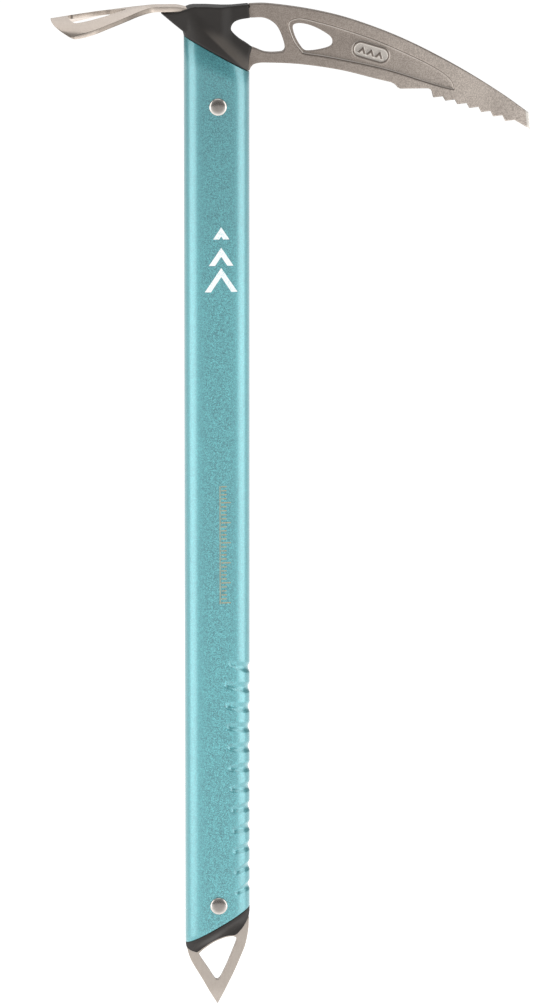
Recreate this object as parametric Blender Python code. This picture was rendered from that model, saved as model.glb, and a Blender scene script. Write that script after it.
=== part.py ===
"""Ice axe: forged pick, sheet-steel adze, oval tube shaft, moulded cover and plug, plate spike.

Every outline is given in millimetres in the axe's own side view: x towards the pick, z up the
shaft from the tip of the spike, y across the thickness.  Objects are then placed so that the
row's origin is the centre of the carabiner hole in the head.
"""
import math

import bmesh
import bpy
from mathutils import Vector

MM = 0.001
GAP = 0.3                    # clearance left wherever two pieces meet

# Shaft -----------------------------------------------------------------------------------------
SHAFT_HALF_X = 16.0          # half the oval's long axis
SHAFT_HALF_Y = 10.5          # half its short axis
SHAFT_WALL = 1.3
OVAL_POWER = 2.25            # 2 is an ellipse; a little more flattens the sides
SHAFT_LENGTH = 434.0         # between the two bias cuts, measured on the shaft's axis
TOP_CUT_Z = 475.8            # height of the head end's bias cut on the shaft's axis
TOP_CUT_SLOPE = -0.555
FOOT_CUT_Z = TOP_CUT_Z - SHAFT_LENGTH
FOOT_CUT_SLOPE = 0.57
TIP_Z = FOOT_CUT_Z - 41.8    # the spike's tip; everything at the foot is placed from it

# Grip grooves ----------------------------------------------------------------------------------
GROOVE_COUNT = 12
GROOVE_TOP_Z = TIP_Z + 171.4
GROOVE_PITCH = 9.96
GROOVE_RADIUS = 3.6
GROOVE_DEPTH = 0.8
GROOVE_TILT_TOP = 3.8        # how much higher the inner end of the first groove is
GROOVE_TILT_FOOT = -2.8      # and of the last one
GROOVE_END_X_TOP = 2.4       # how far round the side the grooves reach
GROOVE_END_X_FOOT = 8.4

# Pick ------------------------------------------------------------------------------------------
PICK_THICK = 5.0
PICK_TIP_THICK = 3.4
PICK_TAPER_X = 104.0         # the blade thins from here to the tip
RECESS_DEPTH = 1.0
TOOTH_COUNT = 7
TOOTH_PITCH = 5.87
TANG_HALF_X = 12.0
TANG_FOOT_Z = 438.0

# Adze ------------------------------------------------------------------------------------------
STEM_HALF_Y = 5.3
STEM_TOP_Z = 497.5
SHEET_THICK = 2.6
EAR_THICK = 2.2
SADDLE_FRONT_X = 3.0
SADDLE_REAR_X = -14.0
SADDLE_FOOT_Z = 483.5
NOTCH_FLOOR_Z = STEM_TOP_Z - SHEET_THICK - 2 * GAP   # the pick's neck clears the stem
NOTCH_ROOF_Z = STEM_TOP_Z + 2 * GAP
NOTCH_FRONT_X = SADDLE_FRONT_X + 0.4

# Spike -----------------------------------------------------------------------------------------
SPIKE_THICK = 3.0
SPIKE_TANG_HALF_X = 11.0
SPIKE_TANG_TOP_Z = TIP_Z + 65.0

# Rivets ----------------------------------------------------------------------------------------
RIVET_RADIUS = 2.5
RIVET_CLEARANCE = 0.2        # round every rivet's shank
RIVET_HEAD_RADIUS = 4.3
RIVET_HEAD_HEIGHT = 1.7
HEAD_RIVET_Z = 451.0
SPIKE_RIVET_Z = TIP_Z + 52.8
ADZE_RIVET_RADIUS = 2.0
ADZE_RIVET_HEAD_RADIUS = 3.0
ADZE_RIVET_HEAD_HEIGHT = 1.0
ADZE_RIVETS = {"adze_rivet_front": (-2.0, 489.0), "adze_rivet_rear": (-10.0, 489.5)}

COVER_NECK_HALF = 4.2        # half thickness of the cover where it grips the pick's arms
COVER_CROWN_HALF = 7.0       # half thickness over the adze's saddle

ORIGIN = Vector((20.0, 0.0, 485.0))   # centre of the carabiner hole


# ------------------------------------------------------------------------------- shape helpers
def clear_scene():
    for obj in list(bpy.data.objects):
        bpy.data.objects.remove(obj, do_unlink=True)


def material(name, colour, metallic, roughness):
    mat = bpy.data.materials.new(name)
    mat.use_nodes = True
    shader = mat.node_tree.nodes["Principled BSDF"]
    shader.inputs["Base Color"].default_value = (*colour, 1.0)
    shader.inputs["Metallic"].default_value = metallic
    shader.inputs["Roughness"].default_value = roughness
    return mat


def smooth(value):
    value = min(max(value, 0.0), 1.0)
    return value * value * (3.0 - 2.0 * value)


def along(points, x):
    """Straight-line interpolation in a table of (x, value, ...) rows sorted by falling x."""
    for left, right in zip(points, points[1:]):
        if right[0] <= x <= left[0]:
            share = (left[0] - x) / (left[0] - right[0])
            return [a + (b - a) * share for a, b in zip(left, right)]
    return list(points[0] if x > points[0][0] else points[-1])


def curve(points, steps=4, closed=False):
    """A smooth curve through the points (Catmull-Rom)."""
    count = len(points)
    spans = count if closed else count - 1
    result = []
    for i in range(spans):
        if closed:
            p0, p1, p2, p3 = (points[(i + k) % count] for k in (-1, 0, 1, 2))
        else:
            p0, p1, p2, p3 = (points[min(max(i + k, 0), count - 1)] for k in (-1, 0, 1, 2))
        for k in range(steps):
            t = k / steps
            result.append(tuple(
                0.5 * (2 * b + (c - a) * t + (2 * a - 5 * b + 4 * c - d) * t * t
                       + (3 * b - a - 3 * c + d) * t ** 3)
                for a, b, c, d in zip(p0, p1, p2, p3)))
    if not closed:
        result.append(tuple(points[-1]))
    return result


def make(name, verts, faces):
    """A mesh object from vertices in millimetres, with its faces turned outwards."""
    mesh = bpy.data.meshes.new(name)
    mesh.from_pydata([Vector(v) * MM for v in verts], [], faces)
    bm = bmesh.new()
    bm.from_mesh(mesh)
    bmesh.ops.remove_doubles(bm, verts=bm.verts, dist=1e-7)
    bmesh.ops.recalc_face_normals(bm, faces=bm.faces)
    bm.to_mesh(mesh)
    bm.free()
    obj = bpy.data.objects.new(name, mesh)
    bpy.context.scene.collection.objects.link(obj)
    return obj


def stack(name, rings):
    """A closed skin over rings of equal vertex count, capped at both ends."""
    count = len(rings[0])
    verts = [v for ring in rings for v in ring]
    faces = []
    for r in range(len(rings) - 1):
        for i in range(count):
            j = (i + 1) % count
            faces.append((r * count + i, r * count + j, (r + 1) * count + j, (r + 1) * count + i))
    faces.append(tuple(range(count)))
    faces.append(tuple((len(rings) - 1) * count + i for i in range(count)))
    return make(name, verts, faces)


def prism(name, outline, y_low, y_high):
    """A side-view outline extruded across the thickness."""
    return stack(name, [[(x, y, z) for x, z in outline] for y in (y_low, y_high)])


def lathe(name, profile, x, z, segments=28):
    """A solid of revolution about the cross-wise axis through (x, z); profile rows are (y, r)."""
    rings = []
    for y, radius in profile:
        ring = []
        for i in range(segments):
            angle = 2 * math.pi * i / segments
            ring.append((x + radius * math.cos(angle), y, z + radius * math.sin(angle)))
        rings.append(ring)
    return stack(name, rings)


def oval(half_x, half_y, count=56):
    """Points of the shaft's oval, as (x, y)."""
    points = []
    for i in range(count):
        angle = 2 * math.pi * i / count
        c, s = math.cos(angle), math.sin(angle)
        points.append((
            math.copysign(abs(c) ** (2 / OVAL_POWER), c) * half_x,
            math.copysign(abs(s) ** (2 / OVAL_POWER), s) * half_y))
    return points


def oval_y(x, half_x=SHAFT_HALF_X, half_y=SHAFT_HALF_Y):
    share = min(abs(x) / half_x, 0.9995)
    return half_y * (1 - share ** OVAL_POWER) ** (1 / OVAL_POWER)


def top_cut(x):
    return TOP_CUT_Z + TOP_CUT_SLOPE * x


def foot_cut(x):
    return FOOT_CUT_Z + FOOT_CUT_SLOPE * x


def combine(obj, others, operation):
    """Join or cut with other solids, and keep the result as the object's own mesh."""
    for other in others:
        other.hide_render = True
        other.display_type = "WIRE"
        step = obj.modifiers.new("step", "BOOLEAN")
        step.operation = operation
        step.solver = "EXACT"
        step.object = other
    settle(obj)
    for other in others:
        bpy.data.objects.remove(other, do_unlink=True)
    return obj


def settle(obj):
    """Replace the object's mesh by what its modifiers make of it."""
    bpy.context.view_layer.update()
    graph = bpy.context.evaluated_depsgraph_get()
    mesh = bpy.data.meshes.new_from_object(obj.evaluated_get(graph))
    obj.modifiers.clear()
    obj.data = mesh
    bm = bmesh.new()
    bm.from_mesh(mesh)
    bmesh.ops.remove_doubles(bm, verts=bm.verts, dist=2e-6)
    bmesh.ops.dissolve_degenerate(bm, edges=bm.edges, dist=1e-6)
    bm.to_mesh(mesh)
    bm.free()
    return obj


def bevel(obj, width, segments, angle):
    step = obj.modifiers.new("edges", "BEVEL")
    step.width = width * MM
    step.segments = segments
    step.limit_method = "ANGLE"
    step.angle_limit = math.radians(angle)
    step.use_clamp_overlap = True
    return settle(obj)


def finish(obj, mat):
    obj.data.materials.clear()
    obj.data.materials.append(mat)
    obj.location = -ORIGIN * MM
    return obj


# ---------------------------------------------------------------------------------- shaft
def groove_cutter(index):
    """A bent bar that follows the front of the oval and lifts out of it at both ends."""
    share = index / (GROOVE_COUNT - 1)
    z_front = GROOVE_TOP_Z - GROOVE_PITCH * index
    tilt = GROOVE_TILT_TOP + (GROOVE_TILT_FOOT - GROOVE_TILT_TOP) * share
    end_x = GROOVE_END_X_TOP + (GROOVE_END_X_FOOT - GROOVE_END_X_TOP) * share
    if index == 0:
        end_x += 2.6
    end_angle = math.acos((end_x / SHAFT_HALF_X) ** (OVAL_POWER / 2))
    steps = 16
    rings = []
    for k in range(steps + 1):
        angle = end_angle * (2 * k / steps - 1)
        c, s = math.cos(angle), math.sin(angle)
        x = c ** (2 / OVAL_POWER) * SHAFT_HALF_X
        y = math.copysign(abs(s) ** (2 / OVAL_POWER), s) * SHAFT_HALF_Y
        normal = Vector((
            (abs(x) / SHAFT_HALF_X) ** (OVAL_POWER - 1) / SHAFT_HALF_X,
            math.copysign((abs(y) / SHAFT_HALF_Y) ** (OVAL_POWER - 1) / SHAFT_HALF_Y, y), 0.0))
        normal.normalize()
        to_end = min(k, steps - k)
        depth = GROOVE_DEPTH * (1.0, 0.94, 0.8, -0.5)[max(0, 3 - to_end)]
        centre = Vector((x, y, z_front + tilt * (SHAFT_HALF_X - x) / (SHAFT_HALF_X - end_x)))
        centre += normal * (GROOVE_RADIUS - depth)
        ring = []
        for i in range(18):
            turn = 2 * math.pi * i / 18
            point = centre + normal * (GROOVE_RADIUS * math.cos(turn))
            ring.append((point.x, point.y, point.z + GROOVE_RADIUS * math.sin(turn)))
        rings.append(ring)
    return stack("groove", rings)


def build_shaft():
    outer = oval(SHAFT_HALF_X, SHAFT_HALF_Y)
    inner = oval(SHAFT_HALF_X - SHAFT_WALL, SHAFT_HALF_Y - SHAFT_WALL)
    count = len(outer)
    verts = []
    for points in (outer, inner):
        for height in (foot_cut, top_cut):
            verts += [(x, y, height(x)) for x, y in points]
    faces = []
    for i in range(count):
        j = (i + 1) % count
        faces.append((i, j, count + j, count + i))
        faces.append((2 * count + i, 3 * count + i, 3 * count + j, 2 * count + j))
        faces.append((i, 2 * count + i, 2 * count + j, j))
        faces.append((count + i, count + j, 3 * count + j, 3 * count + i))
    shaft = make("shaft", verts, faces)
    reach = SHAFT_HALF_Y + 3
    radius = RIVET_RADIUS + RIVET_CLEARANCE
    holes = [
        lathe("hole", [(-reach, radius), (reach, radius)], 0, z)
        for z in (HEAD_RIVET_Z, SPIKE_RIVET_Z)]
    return combine(shaft, [groove_cutter(i) for i in range(GROOVE_COUNT)] + holes, "DIFFERENCE")


# ---------------------------------------------------------------------------------- pick
PICK_BACK = [
    (15.7, 500.0), (25.0, 500.0), (42.4, 497.6), (59.9, 493.7), (77.4, 487.8), (93.0, 481.2),
    (108.6, 473.3), (124.3, 464.3), (140.0, 454.2), (152.2, 445.4)]
PICK_POINT = (153.0, 437.2)
PICK_BELLY = [(84.8, 461.1), (77.5, 462.9), (59.9, 467.4), (40.4, 470.4), (24.0, 471.3), (19.4, 471.0)]
HOLE_FRONT = [
    (16.4, 493.4), (22.0, 493.4), (25.8, 492.1), (28.8, 489.7), (30.9, 486.2), (32.6, 481.6),
    (33.2, 478.4), (32.3, 476.8), (30.0, 476.3), (26.0, 476.2), (22.3, 476.8), (17.3, 478.8)]
HOLE_REAR = [
    (17.2, 477.3), (13.0, 478.9), (9.0, 481.4), (6.0, 484.6), (4.9, 488.3), (6.2, 491.9),
    (9.6, 493.9), (16.4, 494.9)]
LIGHTENING_HOLE = [
    (37.0, 488.6), (38.7, 490.2), (42.4, 490.1), (46.8, 488.8), (51.2, 486.6), (55.1, 483.9),
    (56.4, 481.2), (55.2, 478.9), (50.2, 477.4), (45.3, 476.8), (42.8, 477.1), (40.9, 479.1),
    (38.3, 483.7)]
RECESS = [
    (34.5, 488.5), (35.2, 491.6), (38.6, 493.1), (42.3, 493.0), (50.1, 491.0), (59.4, 488.3),
    (76.9, 482.2), (89.1, 476.9), (101.5, 470.9), (109.8, 465.9), (114.0, 462.2), (115.6, 458.6),
    (114.4, 457.2), (101.5, 460.8), (89.1, 464.9), (76.9, 468.4), (59.4, 472.2), (50.1, 474.0),
    (42.5, 475.2), (40.6, 476.6), (37.1, 481.4)]


def pick_outline():
    points = curve(PICK_BACK, 3)
    points.append(PICK_POINT)
    for i in reversed(range(TOOTH_COUNT)):
        x = 105.5 + TOOTH_PITCH * i
        z = 453.4 - 1.6 * i - 0.067 * i * i
        points += [(x + 4.55, z + 0.5), (x, z)]
    points += [(104.9, 456.0), (104.2, 457.3), (102.8, 457.9), (89.2, 457.9), (87.2, 459.7)]
    points += curve(PICK_BELLY, 3)
    heel_z = top_cut(SHAFT_HALF_X) + 1.3 * GAP
    points += [(SHAFT_HALF_X + 1.5, 470.4), (SHAFT_HALF_X + 0.4, 468.9)]
    points += [(SHAFT_HALF_X - 0.1, heel_z), (SHAFT_HALF_X - 0.5, heel_z + 0.4)]
    points += [(SHAFT_HALF_X - 0.4, 469.2), (TANG_HALF_X, 470.7)]
    points += [(TANG_HALF_X, TANG_FOOT_Z + 3)]
    points += [(TANG_HALF_X - 3, TANG_FOOT_Z), (3 - TANG_HALF_X, TANG_FOOT_Z)]
    points += [(-TANG_HALF_X, TANG_FOOT_Z + 3), (-TANG_HALF_X, NOTCH_FLOOR_Z - 2.3)]
    points += [(1.5 - TANG_HALF_X, NOTCH_FLOOR_Z), (NOTCH_FRONT_X, NOTCH_FLOOR_Z)]
    points += [(NOTCH_FRONT_X, NOTCH_ROOF_Z), (15.6, NOTCH_ROOF_Z)]
    return points


def slanted_pad(centre_x, centre_z, length, height, turn, steps=8):
    """Outline of a pill-shaped pad, turned in the side view."""
    radius = height / 2
    c, s = math.cos(math.radians(turn)), math.sin(math.radians(turn))
    points = []
    for side in (1, -1):
        for k in range(steps + 1):
            angle = math.pi * (k / steps - 0.5)
            x = side * (length / 2 - radius + radius * math.cos(angle))
            z = side * radius * math.sin(angle)
            points.append((centre_x + x * c - z * s, centre_z + x * s + z * c))
    return points


def build_pick():
    half = PICK_THICK / 2
    pick = prism("pick", pick_outline(), -half, half)
    floor = half - RECESS_DEPTH
    radius = RIVET_RADIUS + RIVET_CLEARANCE
    carabiner_hole = curve(HOLE_FRONT, 3) + curve(HOLE_REAR, 3)
    recess = curve(RECESS, 2, closed=True)
    cutters = [
        prism("carabiner", carabiner_hole, -half - 1, half + 1),
        prism("lightening", curve(LIGHTENING_HOLE, 3, closed=True), -half - 1, half + 1),
        prism("recess_near", recess, -half - 1, -floor),
        prism("recess_far", recess, floor, half + 1),
        lathe("tang_hole", [(-half - 1, radius), (half + 1, radius)], 0, HEAD_RIVET_Z)]
    for x, z in ADZE_RIVETS.values():
        radius = ADZE_RIVET_RADIUS + RIVET_CLEARANCE
        cutters.append(lathe("neck_hole", [(-half - 1, radius), (half + 1, radius)], x, z, 20))
    combine(pick, cutters, "DIFFERENCE")
    pad = slanted_pad(75.0, 475.8, 18.5, 8.0, -17.0)
    pads = [
        prism("pad_near", pad, -floor - 0.6, -floor + 0.3),
        prism("pad_far", pad, floor - 0.3, floor + 0.6)]
    combine(pick, pads, "UNION")
    thin_towards_tip(pick)
    return bevel(pick, 0.35, 1, 50)


def thin_towards_tip(pick):
    """The blade keeps its thickness up to the teeth and is ground thinner from there."""
    bm = bmesh.new()
    bm.from_mesh(pick.data)
    start = PICK_TAPER_X * MM
    bmesh.ops.bisect_plane(
        bm, geom=bm.verts[:] + bm.edges[:] + bm.faces[:], plane_co=(start, 0, 0),
        plane_no=(1, 0, 0), dist=1e-7)
    length = PICK_POINT[0] * MM - start
    for vert in bm.verts:
        share = max(0.0, (vert.co.x - start) / length)
        vert.co.y *= 1 - (1 - PICK_TIP_THICK / PICK_THICK) * share
    bm.to_mesh(pick.data)
    bm.free()


# ---------------------------------------------------------------------------------- adze
# Rows: x on the centre line, half width, height of the top face, sheet thickness, how far the
# sides droop, how far the sides lag behind the centre line.
ADZE_STATIONS = [
    (SADDLE_FRONT_X, STEM_HALF_Y, STEM_TOP_Z, SHEET_THICK, 0.0, 0.0),
    (-9.0, STEM_HALF_Y, STEM_TOP_Z, SHEET_THICK, 0.0, 0.0),
    (-13.5, STEM_HALF_Y, STEM_TOP_Z + 0.6, SHEET_THICK, 0.0, 0.0),
    (-19.0, STEM_HALF_Y, 499.3, SHEET_THICK, 0.0, 0.0),
    (-25.0, STEM_HALF_Y, 499.4, SHEET_THICK, 0.0, 0.0),
    (-31.0, 5.6, 499.4, SHEET_THICK, 0.1, 0.0),
    (-37.5, 9.6, 499.0, 2.4, 0.95, 0.3),
    (-45.3, 17.0, 497.6, 2.3, 1.35, 1.0),
    (-51.0, 21.5, 496.8, 2.2, 1.95, 1.8),
    (-57.0, 25.6, 496.0, 2.2, 2.4, 3.0),
    (-64.3, 29.2, 495.0, 2.1, 3.2, 4.6),
    (-72.0, 30.8, 494.0, 2.0, 3.85, 6.4),
    (-77.5, 30.4, 493.3, 1.4, 4.5, 7.6),
    (-80.5, 29.0, 493.0, 0.4, 4.7, 8.2)]
ADZE_WINDOW = [
    (-43.5, 0.0), (-46.0, 3.0), (-51.0, 6.9), (-54.2, 10.1), (-60.0, 13.3), (-64.5, 15.0),
    (-68.8, 15.6), (-71.0, 13.5), (-72.2, 0.0)]


def build_adze():
    across = 12
    rings = []
    for x, half_width, top, thick, droop, lag in ADZE_STATIONS:
        upper, lower = [], []
        for k in range(across + 1):
            share = 2 * k / across - 1
            point_x = x + lag * abs(share) ** 2.6
            z = top - droop * share * share
            upper.append((point_x, half_width * share, z))
            lower.append((point_x, half_width * share, z - thick))
        rings.append(upper + lower[::-1])
    adze = stack("adze", rings)
    ears = []
    for side in (-1, 1):
        outline = [
            (SADDLE_REAR_X, STEM_TOP_Z - 0.6), (SADDLE_REAR_X, SADDLE_FOOT_Z + 3.5),
            (SADDLE_REAR_X + 3.5, SADDLE_FOOT_Z), (SADDLE_FRONT_X - 3.5, SADDLE_FOOT_Z),
            (SADDLE_FRONT_X - 0.02, SADDLE_FOOT_Z + 3.5),
            (SADDLE_FRONT_X - 0.02, STEM_TOP_Z - 0.6)]
        low, high = sorted((side * (STEM_HALF_Y - EAR_THICK), side * (STEM_HALF_Y - 0.02)))
        ears.append(prism("ear", outline, low, high))
    combine(adze, ears, "UNION")
    window = curve(ADZE_WINDOW, 3)
    window += [(x, -y) for x, y in window[-2:0:-1]]
    cutters = [stack("window", [[(x, y, z) for x, y in window] for z in (480, 505)])]
    for x, z in ADZE_RIVETS.values():
        radius = ADZE_RIVET_RADIUS + RIVET_CLEARANCE
        cutters.append(lathe("ear_hole", [(-8, radius), (8, radius)], x, z, 20))
    return combine(adze, cutters, "DIFFERENCE")


# ---------------------------------------------------------------------------------- mouldings
def patch(foot, top, rear, front, columns, rows):
    """A grid of points filling the space between four side-view edges (a Coons patch)."""
    def sample(points, share):
        lengths = [0.0]
        for a, b in zip(points, points[1:]):
            lengths.append(lengths[-1] + math.dist(a, b))
        target = share * lengths[-1]
        for k in range(len(points) - 1):
            if target <= lengths[k + 1] or k == len(points) - 2:
                t = (target - lengths[k]) / (lengths[k + 1] - lengths[k])
                return Vector(points[k]).lerp(Vector(points[k + 1]), t)

    grid = []
    for r in range(rows + 1):
        v = r / rows
        line = []
        for c in range(columns + 1):
            u = c / columns
            point = sample(foot, u) * (1 - v) + sample(top, u) * v
            point += sample(rear, v) * (1 - u) + sample(front, v) * u
            point -= Vector(foot[0]) * (1 - u) * (1 - v) + Vector(foot[-1]) * u * (1 - v)
            point -= Vector(top[0]) * (1 - u) * v + Vector(top[-1]) * u * v
            line.append(point)
        grid.append(line)
    return grid


def shell(name, grid, half_thickness):
    """A solid whose two side faces stand off the middle plane by half_thickness(x, z, v)."""
    rows, columns = len(grid), len(grid[0])
    verts = []
    for side in (-1, 1):
        for r, line in enumerate(grid):
            for x, z in line:
                verts.append((x, side * half_thickness(x, z, r / (rows - 1)), z))
    faces = []
    total = rows * columns
    for base in (0, total):
        for r in range(rows - 1):
            for c in range(columns - 1):
                a = base + r * columns + c
                faces.append((a, a + 1, a + columns + 1, a + columns))
    rim = [c for c in range(columns)]
    rim += [r * columns + columns - 1 for r in range(1, rows)]
    rim += [(rows - 1) * columns + c for c in range(columns - 2, -1, -1)]
    rim += [r * columns for r in range(rows - 2, 0, -1)]
    for a, b in zip(rim, rim[1:] + rim[:1]):
        faces.append((a, b, total + b, total + a))
    return make(name, verts, faces)


def cover_half(x, z, v):
    """Half thickness of the head cover: the oval at its foot, thin where it grips the arms."""
    wide = oval_y(min(max(x, 0.15 - SHAFT_HALF_X), SHAFT_HALF_X - 0.1))
    wide += (COVER_CROWN_HALF - wide) * smooth(v)
    from_crease = (x + 7.3) * -0.693 + (z - 488.7) * -0.721
    share = max(smooth((from_crease + 4) / 10), 1 - smooth((x - 1.5) / 8))
    return min(wide, COVER_NECK_HALF + (wide - COVER_NECK_HALF) * share)


def build_head_cover():
    foot_rear, foot_front = 0.05 - SHAFT_HALF_X, SHAFT_HALF_X - 0.9
    foot = [(x, top_cut(x) + GAP) for x in (foot_rear, foot_front)]
    top = [(-27.0, 496.0), (-18.0, 497.0), (-12.6, 499.2), (-5.0, 499.3), (2.5, 498.9),
           (8.0, 499.3), (15.3, 499.9)]
    rear = [foot[0], (-0.2 - SHAFT_HALF_X, 487.6), (-21.5, 491.3), (-27.0, 496.0)]
    front = [foot[1], (16.7, 479.0), (16.0, 493.4), (15.3, 499.9)]
    cover = shell("head_cover", patch(foot, top, rear, front, 22, 12), cover_half)
    eye = curve([
        (21.0, 493.5), (16.0, 493.4), (11.2, 492.6), (8.2, 491.2), (6.8, 488.5), (7.9, 485.9),
        (11.2, 482.8), (14.0, 481.0), (17.0, 478.9), (21.0, 477.0)], 3)
    half = PICK_THICK / 2 + GAP
    eye_centre = Vector((ORIGIN.x, ORIGIN.z))
    hole_side = [
        tuple(Vector(p) + (eye_centre - Vector(p)).normalized() * 1.3 * GAP)
        for p in curve(HOLE_REAR, 3)]
    tang = TANG_HALF_X + GAP
    clear_x = SHAFT_HALF_X + 2
    neck = [
        (clear_x, NOTCH_ROOF_Z + GAP), (NOTCH_FRONT_X - GAP, NOTCH_ROOF_Z + GAP),
        (NOTCH_FRONT_X - GAP, NOTCH_FLOOR_Z + GAP), (1.7 - tang, NOTCH_FLOOR_Z + GAP),
        (-tang, NOTCH_FLOOR_Z - 2.1), (-tang, 460.0), (tang, 460.0),
        (tang, 470.2), (clear_x, 468.0), (clear_x, hole_side[0][1])]
    neck += hole_side + [(clear_x, hole_side[-1][1])]
    rear_x = SADDLE_REAR_X - GAP
    front_x = SADDLE_FRONT_X + GAP
    stem = [row for row in ADZE_STATIONS if -32 < row[0] < SADDLE_FRONT_X]
    slot = [(front_x, ADZE_STATIONS[0][2] + GAP)]
    slot += [(x, top + GAP) for x, _, top, _, _, _ in stem]
    slot += [(x, top - thick - 2 * GAP) for x, _, top, thick, _, _ in reversed(stem) if x < rear_x]
    _, _, top, thick, _, _ = along(ADZE_STATIONS, rear_x)
    slot += [
        (rear_x, top - thick - GAP), (rear_x, SADDLE_FOOT_Z + 3.3),
        (SADDLE_REAR_X + 3.2, SADDLE_FOOT_Z - GAP), (SADDLE_FRONT_X - 3.2, SADDLE_FOOT_Z - GAP),
        (front_x, SADDLE_FOOT_Z + 3.3)]
    side = STEM_HALF_Y + GAP
    cutters = [
        prism("eye", eye, -12, 12),
        prism("neck", neck, -half, half),
        prism("stem", slot, -side, side)]
    for x, z in ADZE_RIVETS.values():
        reach = STEM_HALF_Y + 0.15 + ADZE_RIVET_HEAD_HEIGHT + 0.25
        radius = ADZE_RIVET_HEAD_RADIUS + 0.3
        cutters.append(lathe("head_room", [(-reach, radius), (reach, radius)], x, z, 20))
    return combine(cover, cutters, "DIFFERENCE")


def build_tang_shim(name, side):
    """A D-shaped filler beside the tang, as tall as the tang inside the tube."""
    flat = PICK_THICK / 2 + GAP
    half_x = SHAFT_HALF_X - SHAFT_WALL - GAP
    half_y = SHAFT_HALF_Y - SHAFT_WALL - GAP
    section = [(x, y) for x, y in oval(half_x, half_y) if y > flat + 0.4]
    edge_x = half_x * (1 - (flat / half_y) ** OVAL_POWER) ** (1 / OVAL_POWER)
    section = [(edge_x, flat)] + section + [(-edge_x, flat)]
    foot = [(x, side * y, TANG_FOOT_Z) for x, y in section]
    top = [(x, side * y, top_cut(x) - GAP) for x, y in section]
    shim = stack(name, [foot, top])
    radius = RIVET_RADIUS + RIVET_CLEARANCE
    return combine(
        shim, [lathe("shim_hole", [(-12, radius), (12, radius)], 0, HEAD_RIVET_Z)], "DIFFERENCE")


# ---------------------------------------------------------------------------------- foot
SPIKE_REAR = [(0.0, 0.0), (-3.8, 6.6), (-7.8, 13.7), (-12.2, 21.1), (-14.3, 25.7), (-15.3, 29.0)]
SPIKE_FRONT = [(15.6, 43.6), (15.2, 37.9), (13.8, 30.9), (12.2, 26.5), (8.2, 17.1), (4.2, 8.9)]
SPIKE_WINDOW = [
    (-8.9, 25.6), (-8.3, 27.3), (-5.7, 29.5), (-1.4, 32.3), (4.2, 34.5), (8.0, 34.8),
    (9.2, 33.3), (7.4, 28.2), (4.2, 20.4), (1.3, 14.5), (0.0, 13.4), (-1.4, 13.9), (-4.6, 18.9)]
PLUG_FOOT = [
    (-15.5, 30.4), (-13.1, 28.6), (-11.0, 27.7), (-9.8, 27.9), (-6.0, 30.7), (-1.6, 33.4),
    (4.2, 35.6), (8.6, 36.1), (11.2, 38.5), (13.2, 41.3), (14.8, 44.5), (15.7, 48.0)]


def from_tip(points):
    """Points of the foot's outlines, which are drawn upwards from the spike's tip."""
    return [(x, z + TIP_Z) for x, z in points]


def build_spike():
    half = SPIKE_THICK / 2
    tang = SPIKE_TANG_HALF_X
    outline = from_tip(SPIKE_REAR + [(-15.2, 30.6), (-tang, 33.0)])
    outline.append((-tang, SPIKE_TANG_TOP_Z - 3))
    outline += [(3 - tang, SPIKE_TANG_TOP_Z), (tang - 3, SPIKE_TANG_TOP_Z)]
    outline.append((tang, SPIKE_TANG_TOP_Z - 3))
    outline += from_tip([(tang, 46.5), (15.2, 46.0)] + SPIKE_FRONT)
    spike = prism("spike", outline, -half, half)
    radius = RIVET_RADIUS + RIVET_CLEARANCE
    cutters = [
        prism("window", curve(from_tip(SPIKE_WINDOW), 3, closed=True), -half - 1, half + 1),
        lathe("tang_hole", [(-half - 1, radius), (half + 1, radius)], 0, SPIKE_RIVET_Z)]
    combine(spike, cutters, "DIFFERENCE")
    return bevel(spike, 0.3, 1, 60)


def plug_half(x, z, v):
    """Half thickness of the end plug: thin at its lower lip, the shaft's oval at its top."""
    wide = oval_y(min(max(x, 0.3 - SHAFT_HALF_X), SHAFT_HALF_X - 0.2))
    lip = min(3.6, wide)
    return lip + (wide - lip) * smooth(v * 1.15) ** 0.8


def build_spike_plug():
    drop = GAP
    top = [(x, foot_cut(x) - drop) for x in (0.2 - SHAFT_HALF_X, SHAFT_HALF_X - 0.1)]
    foot = from_tip(PLUG_FOOT)
    rear = [foot[0], top[0]]
    front = [foot[-1], top[-1]]
    plug = shell("spike_plug", patch(foot, top, rear, front, 24, 6), plug_half)
    half_x = SHAFT_HALF_X - SHAFT_WALL - GAP
    half_y = SHAFT_HALF_Y - SHAFT_WALL - GAP
    section = oval(half_x, half_y)
    insert = stack("insert", [
        [(x, y, foot_cut(x) - drop - 0.6) for x, y in section],
        [(x, y, SPIKE_TANG_TOP_Z + 2) for x, y in section]])
    combine(plug, [insert], "UNION")
    half = SPIKE_THICK / 2 + GAP
    tang = SPIKE_TANG_HALF_X + GAP
    clear_x = SHAFT_HALF_X + 1
    slot = from_tip([(-clear_x, 20), (-clear_x, 31.0), (-15.2, 31.0), (-tang, 33.3)])
    slot += [
        (-tang, SPIKE_TANG_TOP_Z - 2.8), (2.8 - tang, SPIKE_TANG_TOP_Z + GAP),
        (tang - 2.8, SPIKE_TANG_TOP_Z + GAP), (tang, SPIKE_TANG_TOP_Z - 2.8)]
    slot += from_tip([(tang, 46.8), (15.3, 46.4), (clear_x, 46.0), (clear_x, 20)])
    radius = RIVET_RADIUS + RIVET_CLEARANCE
    cutters = [
        prism("slot", slot, -half, half),
        lathe("plug_hole", [(-12, radius), (12, radius)], 0, SPIKE_RIVET_Z)]
    return combine(plug, cutters, "DIFFERENCE")


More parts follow.
